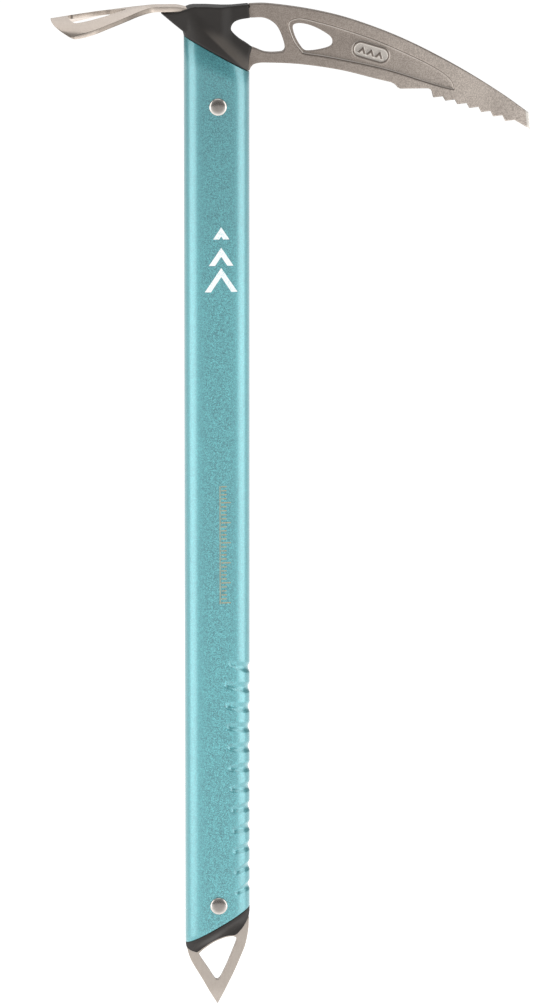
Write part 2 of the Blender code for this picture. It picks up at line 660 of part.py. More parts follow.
# ---------------------------------------------------------------------------------- rivets
def build_rivet(name, x, z, seat, radius, head_radius, head_height):
    """A shank with a domed head on each side, seated at +-seat from the middle plane."""
    dome = []
    for k in range(6):
        angle = math.pi / 2 * k / 6
        dome.append((seat + 0.25 + (head_height - 0.25) * math.sin(angle),
                     head_radius * math.cos(angle)))
    far = [(seat, radius), (seat, head_radius)] + dome + [(seat + head_height, 0.25)]
    near = [(-y, r) for y, r in reversed(far)]
    return lathe(name, near + far, x, z)


def main():
    clear_scene()
    turquoise = material("shaft_paint", (0.16, 0.52, 0.54), 0.55, 0.32)
    forged = material("forged_steel", (0.36, 0.33, 0.30), 0.9, 0.5)
    sheet = material("sheet_steel", (0.62, 0.58, 0.54), 0.95, 0.35)
    plate = material("plate_steel", (0.52, 0.48, 0.44), 0.95, 0.4)
    bright = material("rivet_steel", (0.66, 0.63, 0.6), 1.0, 0.28)
    black = material("black_moulding", (0.045, 0.04, 0.038), 0.0, 0.6)
    filler = material("filler_moulding", (0.07, 0.07, 0.07), 0.0, 0.55)

    finish(build_shaft(), turquoise)
    finish(build_pick(), forged)
    finish(build_adze(), sheet)
    finish(build_head_cover(), black)
    finish(build_tang_shim("tang_shim_left", 1), filler)
    finish(build_tang_shim("tang_shim_right", -1), filler)
    finish(build_spike(), plate)
    finish(build_spike_plug(), black)
    seat = SHAFT_HALF_Y + 0.1
    for name, z in (("head_rivet", HEAD_RIVET_Z), ("spike_rivet", SPIKE_RIVET_Z)):
        rivet = build_rivet(
            name, 0, z, seat, RIVET_RADIUS, RIVET_HEAD_RADIUS, RIVET_HEAD_HEIGHT)
        finish(rivet, bright)
    for name, (x, z) in ADZE_RIVETS.items():
        rivet = build_rivet(
            name, x, z, STEM_HALF_Y + 0.15, ADZE_RIVET_RADIUS, ADZE_RIVET_HEAD_RADIUS,
            ADZE_RIVET_HEAD_HEIGHT)
        finish(rivet, bright)


main()
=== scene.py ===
import math

import bmesh
import bpy
import numpy as np
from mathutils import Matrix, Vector
from mathutils.geometry import delaunay_2d_cdt


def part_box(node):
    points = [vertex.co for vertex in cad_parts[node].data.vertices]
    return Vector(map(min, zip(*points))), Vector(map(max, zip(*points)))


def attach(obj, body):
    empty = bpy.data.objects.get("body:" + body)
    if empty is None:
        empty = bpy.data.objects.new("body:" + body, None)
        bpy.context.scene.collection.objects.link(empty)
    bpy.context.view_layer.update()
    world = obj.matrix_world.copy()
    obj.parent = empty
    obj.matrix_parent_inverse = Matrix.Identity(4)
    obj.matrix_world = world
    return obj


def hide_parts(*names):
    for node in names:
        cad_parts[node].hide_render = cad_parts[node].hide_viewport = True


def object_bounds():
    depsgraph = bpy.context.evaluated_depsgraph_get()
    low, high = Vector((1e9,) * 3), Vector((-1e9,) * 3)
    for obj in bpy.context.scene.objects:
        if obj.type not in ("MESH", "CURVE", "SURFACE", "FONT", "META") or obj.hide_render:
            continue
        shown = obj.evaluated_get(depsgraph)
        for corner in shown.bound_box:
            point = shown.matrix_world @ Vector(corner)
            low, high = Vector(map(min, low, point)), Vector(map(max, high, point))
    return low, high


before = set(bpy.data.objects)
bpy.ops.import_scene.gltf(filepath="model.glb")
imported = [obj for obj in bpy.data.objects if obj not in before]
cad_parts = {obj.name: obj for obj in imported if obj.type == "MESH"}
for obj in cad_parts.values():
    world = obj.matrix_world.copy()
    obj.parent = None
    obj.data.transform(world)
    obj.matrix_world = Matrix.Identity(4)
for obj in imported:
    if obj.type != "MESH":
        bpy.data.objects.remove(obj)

bl_info = {
    "name": "Ice Axe Builder",
    "version": (1, 0, 0),
    "blender": (4, 5, 0),
    "location": "View3D > Sidebar > Ice Axe",
    "description": "Builds the surfaces of a straight-shafted ice axe round its packed frame",
    "category": "Add Mesh",
}

# The outlines below are in millimetres in the axe's side view: x from the shaft's axis towards
# the pick, z up from the tip of the spike, y across the thickness.
MM = 0.001
CAD_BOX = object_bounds()
SHAFT_LOW, SHAFT_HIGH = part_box("shaft")
PICK_LOW, PICK_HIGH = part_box("pick")
SPIKE_LOW, SPIKE_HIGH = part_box("spike")
EYE_X, EYE_Z = 20.0, 485.0   # the frame's origin is the middle of the head's eye
AXE_HEIGHT = (CAD_BOX[1][2] - CAD_BOX[0][2]) / MM
SHAFT_HALF_X = (SHAFT_HIGH.x - SHAFT_LOW.x) / 2 / MM
SHAFT_HALF_Y = (SHAFT_HIGH.y - SHAFT_LOW.y) / 2 / MM
PICK_HALF = (PICK_HIGH.y - PICK_LOW.y) / 2 / MM
SPIKE_HALF = (SPIKE_HIGH.y - SPIKE_LOW.y) / 2 / MM
OVAL_POWER = 2.25            # 2 is an ellipse; a little more flattens the sides
TOP_CUT = (475.8, -0.555)    # height on the axis and slope of the shaft's bias cuts
FOOT_CUT = (41.8, 0.57)
TAPER_FROM, TAPER_POWER, TIP_HALF = 96.0, 1.2, 1.7   # how the pick thins
HEAD_RIVET_Z = 451.0
SPIKE_RIVET_Z = 52.8
SEAM = 0.15                  # clearance between neighbouring visible pieces
SLIVER = 2e-4                # thinner triangles are left out of a filled face
CROWDED = 0.06               # a plate's points keep at least this far apart


# ---------------------------------------------------------------------------- plane geometry
def place(x, y, z):
    """A point of the side view, in the frame's metres."""
    return Vector(((x - EYE_X) * MM, y * MM, (z - EYE_Z) * MM))


def smooth(value):
    value = min(max(value, 0.0), 1.0)
    return value * value * (3.0 - 2.0 * value)


def mix(a, b, share):
    return a + (b - a) * share


def cut_height(cut, x):
    return cut[0] + cut[1] * x


def oval_y(x):
    """Half thickness of the shaft's oval at x."""
    share = min(abs(x) / SHAFT_HALF_X, 0.9999)
    return SHAFT_HALF_Y * (1 - share ** OVAL_POWER) ** (1 / OVAL_POWER)


def oval_point(angle, half_x, half_y):
    c, s = math.cos(angle), math.sin(angle)
    x = math.copysign(abs(c) ** (2 / OVAL_POWER), c) * half_x
    y = math.copysign(abs(s) ** (2 / OVAL_POWER), s) * half_y
    return x, y


def curve(points, steps=6, closed=False):
    """A smooth curve through the points (Catmull-Rom)."""
    count = len(points)
    result = []
    for i in range(count if closed else count - 1):
        if closed:
            p0, p1, p2, p3 = (points[(i + k) % count] for k in (-1, 0, 1, 2))
        else:
            p0, p1, p2, p3 = (points[min(max(i + k, 0), count - 1)] for k in (-1, 0, 1, 2))
        for k in range(steps):
            t = k / steps
            result.append(tuple(
                0.5 * (2 * b + (c - a) * t + (2 * a - 5 * b + 4 * c - d) * t * t
                       + (3 * b - a - 3 * c + d) * t ** 3)
                for a, b, c, d in zip(p0, p1, p2, p3)))
    if not closed:
        result.append(tuple(points[-1]))
    return result


def dense(loop, step):
    """The same loop with extra points, none further apart than step."""
    result = []
    for a, b in zip(loop, loop[1:] + loop[:1]):
        parts = max(1, math.ceil(math.dist(a, b) / step))
        for k in range(parts):
            result.append((mix(a[0], b[0], k / parts), mix(a[1], b[1], k / parts)))
    return result


def turned_ccw(loop):
    area = sum(a[0] * b[1] - b[0] * a[1] for a, b in zip(loop, loop[1:] + loop[:1]))
    return loop if area > 0 else loop[::-1]


def inset(loop, distance):
    """A counter-clockwise loop moved inwards by distance, with mitred corners."""
    result = []
    count = len(loop)
    for i, point in enumerate(loop):
        before, after = loop[i - 1], loop[(i + 1) % count]
        normals = []
        for a, b in ((before, point), (point, after)):
            length = math.dist(a, b) or 1e-9
            normals.append(Vector((-(b[1] - a[1]) / length, (b[0] - a[0]) / length)))
        middle = normals[0] + normals[1]
        middle = middle.normalized() if middle.length > 1e-6 else normals[0]
        stretch = 1 / max(0.6, middle.dot(normals[0]))
        result.append((point[0] + middle.x * distance * stretch,
                       point[1] + middle.y * distance * stretch))
    return result


def inside(points, loops):
    """For each point, whether an odd number of the loops holds it."""
    held = np.zeros(len(points), bool)
    px, pz = points[:, 0], points[:, 1]
    for loop in loops:
        a = np.array(loop)
        b = np.roll(a, -1, axis=0)
        for (ax, az), (bx, bz) in zip(a, b):
            if az == bz:
                continue
            crosses = (az > pz) != (bz > pz)
            held ^= crosses & (px < (bx - ax) * (pz - az) / (bz - az) + ax)
    return held


def distance_to(points, loops):
    """The distance of each point to the nearest edge of the loops."""
    best = np.full(len(points), 1e9)
    for loop in loops:
        a = np.array(loop)
        b = np.roll(a, -1, axis=0)
        for start, end in zip(a, b):
            along = end - start
            share = np.clip((points - start) @ along / max(along @ along, 1e-12), 0, 1)
            best = np.minimum(best, np.hypot(*(points - start - share[:, None] * along).T))
    return best


# ---------------------------------------------------------------------------- meshes
def triangles(points, loops):
    """Triangles over the area that the loops bound; the loops' points come first in points."""
    edges, base = [], 0
    for loop in loops:
        count = len(loop)
        edges += [(base + i, base + (i + 1) % count) for i in range(count)]
        base += count
    _, _, faces, origin, _, _ = delaunay_2d_cdt([Vector(p) for p in points], edges, [], 0, 1e-6)
    if not all(origin):
        raise ValueError("an outline crosses itself or its neighbour")
    faces = np.array([[origin[i][0] for i in face] for face in faces])
    a, b, c = (points[faces[:, k]] for k in range(3))
    longest = np.max([np.hypot(*(p - q).T) for p, q in ((a, b), (b, c), (c, a))], axis=0)
    (ux, uz), (vx, vz) = (b - a).T, (c - a).T
    wide = np.abs(ux * vz - uz * vx) > longest * SLIVER
    return faces[wide & inside((a + b + c) / 3, loops)]


def grid_points(loops, spacing, margin):
    """Points in a staggered grid, inside the loops and no nearer to them than margin."""
    flat = np.concatenate([np.array(loop) for loop in loops])
    low, high = flat.min(axis=0), flat.max(axis=0)
    xs = np.arange(low[0] + spacing / 2, high[0], spacing)
    zs = np.arange(low[1] + spacing / 2, high[1], spacing * 0.87)
    grid = np.array([(x + (row % 2) * spacing / 2, z) for row, z in enumerate(zs) for x in xs])
    if len(grid):
        grid = grid[inside(grid, loops)]
    if len(grid):
        grid = grid[distance_to(grid, loops) > margin]
    return grid.reshape(-1, 2)


def edge_rows(radius):
    """Distances from an edge at which its rounding needs points, and one to keep the face flat."""
    rounding = [radius * (1 - math.cos(math.pi / 8 * k)) for k in range(1, 5)]
    return [*rounding, radius * 1.6]


def plate_mesh(name, half, outlines, relief=(), spacing=2.0, auto_smooth=40.0):
    """A plate, the same on both sides, from outlines right through it.

    half gives the half thickness at x and z.  An outline is a loop and the radius of its
    rounded edge, negative at a hole.  A relief is a loop and rows of (distance inside the loop,
    depth below the face).
    """
    outlines = [(turned_ccw(loop), radius) for loop, radius in outlines]
    loops = [loop for loop, _ in outlines]
    groups = [np.array(loop) for loop in loops]

    def add(row, clear):
        row = row[inside(row, loops)]
        if len(row):
            row = row[distance_to(row, loops) > clear]
        if len(row):
            others = np.concatenate(groups[len(loops):] + [np.array(loops[0])])
            nearest = np.array([np.min(np.hypot(*(others - p).T)) for p in row])
            row = row[nearest > CROWDED]
        if len(row):
            groups.append(row)

    reach = 0.0
    for loop, radius in outlines:
        for depth in edge_rows(abs(radius)):
            add(np.array(inset(loop, math.copysign(depth, radius))), depth * 0.97)
            reach = max(reach, depth)
    relief = [(turned_ccw(loop), rows) for loop, rows in relief]
    for loop, rows in relief:
        for depth, _ in rows:
            row = np.array(inset(loop, depth))
            row = row[distance_to(row, [loop]) > abs(depth) * 0.97]
            add(row, 0.12)
    grid = grid_points(loops, spacing, reach + spacing * 0.4)
    for loop, rows in relief:
        away = distance_to(grid, [loop]) * np.where(inside(grid, [loop]), 1, -1)
        grid = grid[(away < rows[0][0] - spacing * 0.3) | (away > rows[-1][0] + spacing * 0.3)]
    groups.append(grid)
    points = np.concatenate(groups)

    depth = np.array([half(x, z) for x, z in points])
    for loop, rows in relief:
        away = distance_to(points, [loop]) * np.where(inside(points, [loop]), 1, -1)
        depth -= np.interp(away, *zip(*rows))
    drop = np.zeros(len(points))
    for loop, radius in outlines:
        radius = abs(radius)
        near = np.clip(radius - distance_to(points, [loop]), 0, radius)
        drop = np.maximum(drop, radius - np.sqrt(radius ** 2 - near ** 2))
    depth -= drop

    bm = bmesh.new()
    sides = [[bm.verts.new(place(x, side * y, z)) for (x, z), y in zip(points, depth)]
             for side in (-1, 1)]
    for face in triangles(points, loops):
        for verts in sides:
            bm.faces.new([verts[i] for i in face])
    base = 0
    for loop in loops:
        end = base + len(loop)
        bridge(bm, sides[0][base:end], sides[1][base:end])
        base = end
    return finished(name, bm, auto_smooth)


def ring(bm, loop, y):
    """Vertices along a loop at one depth."""
    return [bm.verts.new(place(x, y, z)) for x, z in loop]


def bridge(bm, first, second):
    count = len(first)
    for i in range(count):
        j = (i + 1) % count
        bm.faces.new((first[i], first[j], second[j], second[i]))


def finished(name, bm, auto_smooth):
    """Close the mesh's seams, shade it and put it in the scene."""
    bmesh.ops.remove_doubles(bm, verts=bm.verts, dist=1e-6)
    bmesh.ops.recalc_face_normals(bm, faces=bm.faces)
    mesh = bpy.data.meshes.new(name)
    bm.to_mesh(mesh)
    bm.free()
    mesh.shade_smooth()
    mesh.set_sharp_from_angle(angle=math.radians(auto_smooth))
    obj = bpy.data.objects.new(name, mesh)
    bpy.context.scene.collection.objects.link(obj)
    return obj


def own(piece, node, material):
    """Put a finished piece on the axe in place of its frame node."""
    piece.data.materials.append(material)
    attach(piece, "root")
    if node:
        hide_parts(node)


# ---------------------------------------------------------------------------- shader maths
class Wire:
    """A value or colour in a material; arithmetic on it adds Math nodes."""

    def __init__(self, finish, socket):
        self.finish = finish
        self.socket = socket

    def math(self, operation, *others, first=True):
        values = [self, *others] if first else [*others, self]
        return self.finish.node(
            "ShaderNodeMath", {"operation": operation}, dict(enumerate(values)))

    def __add__(self, other):
        return self.math("ADD", other)

    def __radd__(self, other):
        return self.math("ADD", other, first=False)

    def __sub__(self, other):
        return self.math("SUBTRACT", other)

    def __rsub__(self, other):
        return self.math("SUBTRACT", other, first=False)

    def __mul__(self, other):
        return self.math("MULTIPLY", other)

    def __rmul__(self, other):
        return self.math("MULTIPLY", other, first=False)

    def __truediv__(self, other):
        return self.math("DIVIDE", other)

    def __rtruediv__(self, other):
        return self.math("DIVIDE", other, first=False)

    def __pow__(self, other):
        return self.math("POWER", other)

    def size(self):
        return self.math("ABSOLUTE")

    def ramp(self, low, high):
        """0 at low, 1 at high, smooth between."""
        return self.finish.node(
            "ShaderNodeMapRange", {"interpolation_type": "SMOOTHSTEP", "clamp": True},
            {"Value": self, "From Min": low, "From Max": high})


class Finish:
    """One material under construction."""

    def __init__(self, name):
        self.material = bpy.data.materials.new(name)
        self.material.use_nodes = True
        self.tree = self.material.node_tree
        self.shader = self.tree.nodes["Principled BSDF"]

    def node(self, kind, settings=None, inputs=None, output=0):
        node = self.tree.nodes.new(kind)
        for key, value in (settings or {}).items():
            setattr(node, key, value)
        for key, value in (inputs or {}).items():
            if isinstance(value, Wire):
                self.tree.links.new(value.socket, node.inputs[key])
            else:
                node.inputs[key].default_value = value
        return Wire(self, node.outputs[output])

    def position(self):
        return self.node("ShaderNodeTexCoord", output="Object")

    def axes(self):
        """x from the shaft's axis, y, and z from the spike's tip, all in millimetres."""
        point = self.position()
        split = self.node("ShaderNodeSeparateXYZ", inputs={0: point})
        outs = split.socket.node.outputs
        x, y, z = (Wire(self, outs[i]) for i in range(3))
        return x / MM + EYE_X, y / MM, z / MM + EYE_Z

    def stretched(self, scale):
        """The position with each axis scaled on its own, for drawn-out patterns."""
        return self.node(
            "ShaderNodeVectorMath", {"operation": "MULTIPLY"}, {0: self.position(), 1: scale})

    def noise(self, scale, detail=3.0, roughness=0.55, where=None):
        return self.node("ShaderNodeTexNoise", inputs={
            "Vector": where or self.position(), "Scale": scale, "Detail": detail,
            "Roughness": roughness})

    def cells(self, scale):
        """A random grey for each small cell."""
        colour = self.node(
            "ShaderNodeTexVoronoi", {"feature": "F1"},
            {"Vector": self.position(), "Scale": scale}, output="Color")
        return self.node("ShaderNodeSeparateColor", inputs={0: colour})

    def blend(self, share, first, second):
        return self.node(
            "ShaderNodeMix", {"data_type": "RGBA"},
            {0: share, 6: first, 7: second}, output=2)

    def bump(self, height, strength, distance):
        normal = self.node("ShaderNodeBump", inputs={
            "Strength": strength, "Distance": distance, "Height": height})
        self.tree.links.new(normal.socket, self.shader.inputs["Normal"])

    def set(self, **sockets):
        for name, value in sockets.items():
            socket = self.shader.inputs[name.replace("_", " ")]
            if isinstance(value, Wire):
                self.tree.links.new(value.socket, socket)
            else:
                socket.default_value = value
        return self.material


def rgb(red, green, blue):
    """A display colour from 0 to 255, as the linear colour that a socket takes."""
    linear = []
    for value in (red, green, blue):
        value /= 255
        linear.append(value / 12.92 if value <= 0.04045 else ((value + 0.055) / 1.055) ** 2.4)
    return (*linear, 1.0)


def turquoise_lacquer(colours):
    """Metallic lacquer: bright flakes under a clear coat, coarsest along the middle of the side,
    with a painted highlight towards the oval's curved sides and painted shade towards the head.
    """
    f = Finish("turquoise_lacquer")
    x, _, z = f.axes()
    flake = f.cells(3300)
    fine = f.cells(5200)
    cloud = f.noise(26, 4)
    middle = 1 - x.size().ramp(3.0, 12.0)
    sparkle = (flake * 0.6 + fine * 0.4).ramp(0.2, 0.8) ** 1.5
    # painted highlight: the lacquer is made lighter towards the oval's curved sides
    share = sparkle * (0.3 + 0.6 * middle) + cloud * 0.14 + 0.2 * (1 - middle)
    # painted shade: the lacquer darkens towards the head
    share = share * (1 - 0.35 * z.ramp(330.0, 470.0))
    colour = f.blend(share, colours.lacquer_deep, colours.lacquer_light)
    f.bump(flake * 0.6 + fine * 0.4, 0.12, 0.00004)
    return f.set(
        Base_Color=colour, Metallic=0.4 + 0.25 * flake, Roughness=0.3 + 0.14 * fine,
        Coat_Weight=1.0, Coat_Roughness=0.24, Coat_IOR=1.85)


def forged_steel(colours):
    """Shot-blasted forging: grainy grey with painted shade on its rounded edges and in its recess,
    a painted highlight along the recess's walls, ground bright at its tip.
    """
    f = Finish("forged_steel")
    x, y, z = f.axes()
    grain = f.noise(1900, 3, 0.7)
    speckle = grain.ramp(0.38, 0.62)
    mottle = f.noise(120, 4)
    streak = f.noise(30, 3, where=f.stretched((1.0, 1.0, 5.0)))
    deep = 1 - y.size().ramp(PICK_HALF - 0.95, PICK_HALF - 0.45)
    in_blade = 1 - x.ramp(112.0, 120.0)
    half = PICK_HALF - (
        x.ramp(TAPER_FROM, PICK_POINT[0]) ** TAPER_POWER * (PICK_HALF - TIP_HALF))
    edge = (half - y.size()).size().ramp(0.03, 0.2) * (1 - deep)
    towards_tip = x.ramp(30.0, 140.0)
    colour = f.blend(towards_tip, colours.forged_head, colours.forged_tip)
    colour = f.blend(speckle * 0.42 + 0.3 * mottle, colour, colours.forged_dark)
    # painted shade: the recess is darkened with the forging shade
    colour = f.blend(deep * in_blade * 0.15, colour, colours.forged_dark)
    # painted highlight along the recess's sloped walls
    colour = f.blend(deep * (1 - deep) * 5.0 * in_blade, colour, colours.bright_steel_and_highlight)
    # painted shade: a dark line along the rounded edges
    colour = f.blend(edge * 0.8, colour, colours.forged_dark)
    ground = (x + 0.0976 * (z - PICK_POINT[1])).ramp(PICK_POINT[0] - 1.5, PICK_POINT[0] - 1.1)
    colour = f.blend(ground, colour, colours.bright_steel_and_highlight)
    f.bump(grain * 0.7 + mottle * 0.3, 0.35, 0.00012)
    return f.set(
        Base_Color=colour, Metallic=0.9,
        Roughness=0.42 + 0.12 * mottle + 0.1 * streak - 0.12 * edge)


def brushed_sheet(colours):
    """Sheet steel with fine lines brushed across it and painted shade along its rolled edge."""
    f = Finish("brushed_sheet")
    lines = f.noise(1.0, 4, 0.7, where=f.stretched((2600.0, 120.0, 2600.0)))
    broad = f.noise(1.0, 3, where=f.stretched((420.0, 30.0, 420.0)))
    stain = f.noise(55, 4)
    colour = f.blend(lines * 0.4 + broad * 0.2, colours.sheet_light, colours.sheet_dark)
    colour = f.blend(stain * 0.08, colour, colours.forged_dark)
    facing = f.node("ShaderNodeNewGeometry", output="Normal")
    sides = Wire(f, f.node("ShaderNodeSeparateXYZ", inputs={0: facing}).socket.node.outputs[1])
    # painted shade: a dark line on the rounded edge, found from the sideways part of the normal
    rim = sides.size().ramp(0.3, 0.42) * (1 - sides.size().ramp(0.86, 0.97))
    colour = f.blend(rim * 0.7 * (1 - f.axes()[0].ramp(-34.0, -28.0)), colour, colours.rim_shade)
    f.bump(lines * 0.75 + broad * 0.25, 0.22, 0.00008)
    return f.set(
        Base_Color=colour, Metallic=0.95, Roughness=0.3 + 0.16 * lines + 0.08 * stain,
        Anisotropic=0.35)


def tumbled_plate(colours):
    """The spike's plate: tumbled to a soft satin with faint scuffs."""
    f = Finish("tumbled_plate")
    grain = f.noise(1500, 5, 0.65)
    scuff = f.noise(1.0, 4, 0.7, where=f.stretched((700.0, 700.0, 160.0)))
    _, y, z = f.axes()
    edge = (SPIKE_HALF - y.size()).ramp(0.02, 0.3) * z.ramp(8.0, 14.0)
    colour = f.blend(grain * 0.5 + scuff * 0.35, colours.plate_light, colours.plate_dark)
    colour = f.blend(edge * 0.5, colour, colours.bright_steel_and_highlight)
    f.bump(grain * 0.6 + scuff * 0.4, 0.25, 0.00008)
    return f.set(Base_Color=colour, Metallic=0.92, Roughness=0.4 + 0.14 * scuff)


def pressed_rivet(colours):
    """Rivet heads: pressed and lightly polished, with painted shade darkening the crown."""
    f = Finish("pressed_rivet")
    grain = f.noise(900, 4)
    scratch = f.noise(1.0, 3, where=f.stretched((500.0, 500.0, 2200.0)))
    crown = f.axes()[1].size().ramp(SHAFT_HALF_Y + 0.9, SHAFT_HALF_Y + 1.5)
    colour = f.blend(grain * 0.4, colours.rivet_light, colours.forged_dark)
    # painted shade on the crown of each rivet head
    colour = f.blend(crown * 0.75, colour, colours.rivet_crown_shade)
    f.bump(grain * 0.5 + scratch * 0.5, 0.12, 0.00005)
    return f.set(Base_Color=colour, Metallic=1.0, Roughness=0.16 + 0.12 * grain)


def black_moulding(colours):
    """Matte black moulded plastic, finely grained, with a painted highlight beside the crease."""
    f = Finish("black_moulding")
    grain = f.noise(2600, 3, 0.6)
    flow = f.noise(40, 3)
    colour = f.blend(flow * 0.5 + grain * 0.3, colours.moulding_dark, colours.moulding_light)
    x, _, z = f.axes()
    past = past_crease(x, z)
    # painted highlight: the facet beside the crease is made lighter
    crease_highlight = past.ramp(-0.8, 0.6) * (1 - past.ramp(1.2, 6.5))
    crease_highlight = crease_highlight * z.ramp(466.0, 471.0) * (1 - z.ramp(482.0, 490.0))
    colour = f.blend(crease_highlight * 0.8, colour, colours.moulding_pale_and_highlight)
    f.bump(grain, 0.3, 0.00006)
    return f.set(
        Base_Color=colour, Metallic=0.0, Roughness=0.5 + 0.14 * grain,
        Specular_IOR_Level=0.32)


def filler_moulding(colours):
    """Plain filler plastic inside the shaft."""
    f = Finish("filler_moulding")
    flow = f.noise(60, 3)
    colour = f.blend(flow, colours.moulding_dark, colours.moulding_pale_and_highlight)
    f.bump(flow, 0.1, 0.0002)
    return f.set(Base_Color=colour, Roughness=0.55 + 0.1 * flow)


def printed_ink(name, ink, worn):
    """Screen-printed ink, slightly broken up by the flakes under it."""
    f = Finish(name)
    speckle = f.cells(2600)
    rub = f.noise(160, 4)
    colour = f.blend((speckle * 0.5 + rub * 0.5).ramp(0.5, 0.95) * 0.6, ink, worn)
    f.bump(speckle, 0.1, 0.00003)
    return f.set(Base_Color=colour, Roughness=0.38 + 0.1 * rub, Coat_Weight=0.6)


# ---------------------------------------------------------------------------- settings
def length(name, text, default, low=0.0, high=200.0):
    return bpy.props.FloatProperty(name=name, description=text, default=default, min=low, max=high)


def tint(name, text, colour):
    return bpy.props.FloatVectorProperty(
        name=name, description=text, default=colour, size=4, subtype="COLOR", min=0, max=1)


class AxeColours(bpy.types.PropertyGroup):
    lacquer_deep: tint("Deep lacquer", "Turquoise between the flakes", rgb(16, 102, 112))
    lacquer_light: tint("Light lacquer", "Turquoise of the flakes", rgb(102, 200, 206))
    forged_head: tint("Forging at the head", "Grey of the pick near the shaft", rgb(172, 161, 152))
    forged_tip: tint("Forging near the tip", "Grey of the pick's point", rgb(222, 211, 201))
    # also the painted shade in the pick's recess and along its rounded edges
    forged_dark: tint("Forging shade", "Grey in the grain and the recess", rgb(104, 94, 87))
    # also the painted highlight along the walls of the pick's recess
    bright_steel_and_highlight: tint("Worn steel", "Bare bright steel on worn edges", rgb(226, 221, 214))
    sheet_light: tint("Sheet", "Light steel of the adze", rgb(228, 215, 203))
    # painted shade along the adze's rounded edge
    rim_shade: tint("Sheet rim", "Dark line along the adze's rolled edge", rgb(92, 84, 76))
    sheet_dark: tint("Sheet lines", "Darker brushed lines of the adze", rgb(176, 163, 152))
    plate_light: tint("Plate", "Steel of the spike", rgb(196, 187, 178))
    plate_dark: tint("Plate grain", "Darker grain of the spike", rgb(158, 147, 138))
    # painted shade on the rivet heads' crowns
    rivet_crown_shade: tint("Rivet crown", "Darker middle of the rivet heads", rgb(112, 106, 102))
    rivet_light: tint("Rivet", "Steel of the rivet heads", rgb(220, 214, 208))
    moulding_dark: tint("Moulding", "Black of the mouldings", rgb(36, 33, 31))
    moulding_light: tint("Moulding grain", "Lighter grain of the mouldings", rgb(54, 50, 47))
    # pale tone of the filler, and the painted highlight beside the cover's crease
    moulding_pale_and_highlight: tint("Moulding edges", "Rubbed edges of the mouldings", rgb(92, 86, 80))
    ink_white: tint("White ink", "The mark on the shaft", rgb(248, 250, 250))
    ink_orange: tint("Orange ink", "The fine scale on the shaft", rgb(178, 158, 112))


class AxeShaft(bpy.types.PropertyGroup):
    wall: length("Wall", "Wall of the tube in millimetres", 1.3)
    groove_count: bpy.props.IntProperty(
        name="Grooves", description="Number of grip grooves", default=12, min=0, max=20)
    groove_top: length(
        "First groove", "Height of the top groove at the front, in mm", 171.4, 0, 500)
    groove_pitch: length("Groove pitch", "Distance between grooves in mm", 9.96)
    groove_depth: length("Groove depth", "How deep the grooves are pressed, in mm", 0.85)
    groove_width: length("Groove width", "Half width of a groove in mm", 2.7)
    tilt_top: length("Top tilt", "Rise of the first groove's inner end in mm", 3.8)
    tilt_foot: length("Foot tilt", "Rise of the last groove's inner end in mm", -2.8, -20)
    reach_top: length("Top reach", "Where the upper grooves end, from the axis, in mm", 2.4)
    reach_foot: length("Foot reach", "Where the last groove ends, from the axis, in mm", 8.4)


class AxePick(bpy.types.PropertyGroup):
    tip_half: length("Tip", "Half thickness of the pick at its point in mm", TIP_HALF)
    taper_from: length(
        "Taper start", "Where the blade starts to thin, from the axis, in mm", TAPER_FROM)
    edge: length("Edge", "Radius of the forging's edges in mm", 0.45)
    recess_depth: length("Recess", "Depth of the recess in mm", 1.0)
    teeth: bpy.props.IntProperty(
        name="Teeth", description="Number of teeth", default=7, min=1, max=12)
    tooth_pitch: length("Tooth pitch", "Distance between teeth in mm", 5.87)


class AxeStage(bpy.types.PropertyGroup):
    azimuth: bpy.props.FloatProperty(
        name="Camera azimuth", description="Side angle of the camera", subtype="ANGLE",
        default=math.radians(-4.0))
    elevation: bpy.props.FloatProperty(
        name="Camera elevation", description="Height angle of the camera", subtype="ANGLE",
        default=math.radians(11.0))
    distance: bpy.props.FloatProperty(
        name="Camera distance", description="From the camera to the middle of the axe",
        subtype="DISTANCE", default=4.0)
    floor_drop: bpy.props.FloatProperty(
        name="Floor drop", description="How far the floor is below the spike",
        subtype="DISTANCE", default=0.35)


# ---------------------------------------------------------------------------- shaft
def groove_depth(shaft, x, z):
    """How far the tube's skin is pressed in at a point; the grooves wrap round its front."""
    if x <= 0 or shaft.groove_count == 0:
        return 0.0
    total = 0.0
    for index in range(shaft.groove_count):
        share = index / max(1, shaft.groove_count - 1)
        front = shaft.groove_top - shaft.groove_pitch * index
        if abs(z - front) > 12:
            continue
        end_x = mix(shaft.reach_top, shaft.reach_foot, share) + (2.6 if index == 0 else 0.0)
        tilt = mix(shaft.tilt_top, shaft.tilt_foot, share)
        middle = front + tilt * (SHAFT_HALF_X - x) / (SHAFT_HALF_X - end_x)
        width = shaft.groove_width * mix(0.62, 1.0, smooth((x - end_x) / 9.0))
        across = abs(z - middle) / width
        # The inner end is a round dimple, so the distance grows in both directions there.
        past = max(0.0, (end_x + 1.4 - x) / 1.6)
        away = math.hypot(across, past)
        if away < 1:
            total = max(total, shaft.groove_depth * (1 - away * away) ** 1.5)
    return total


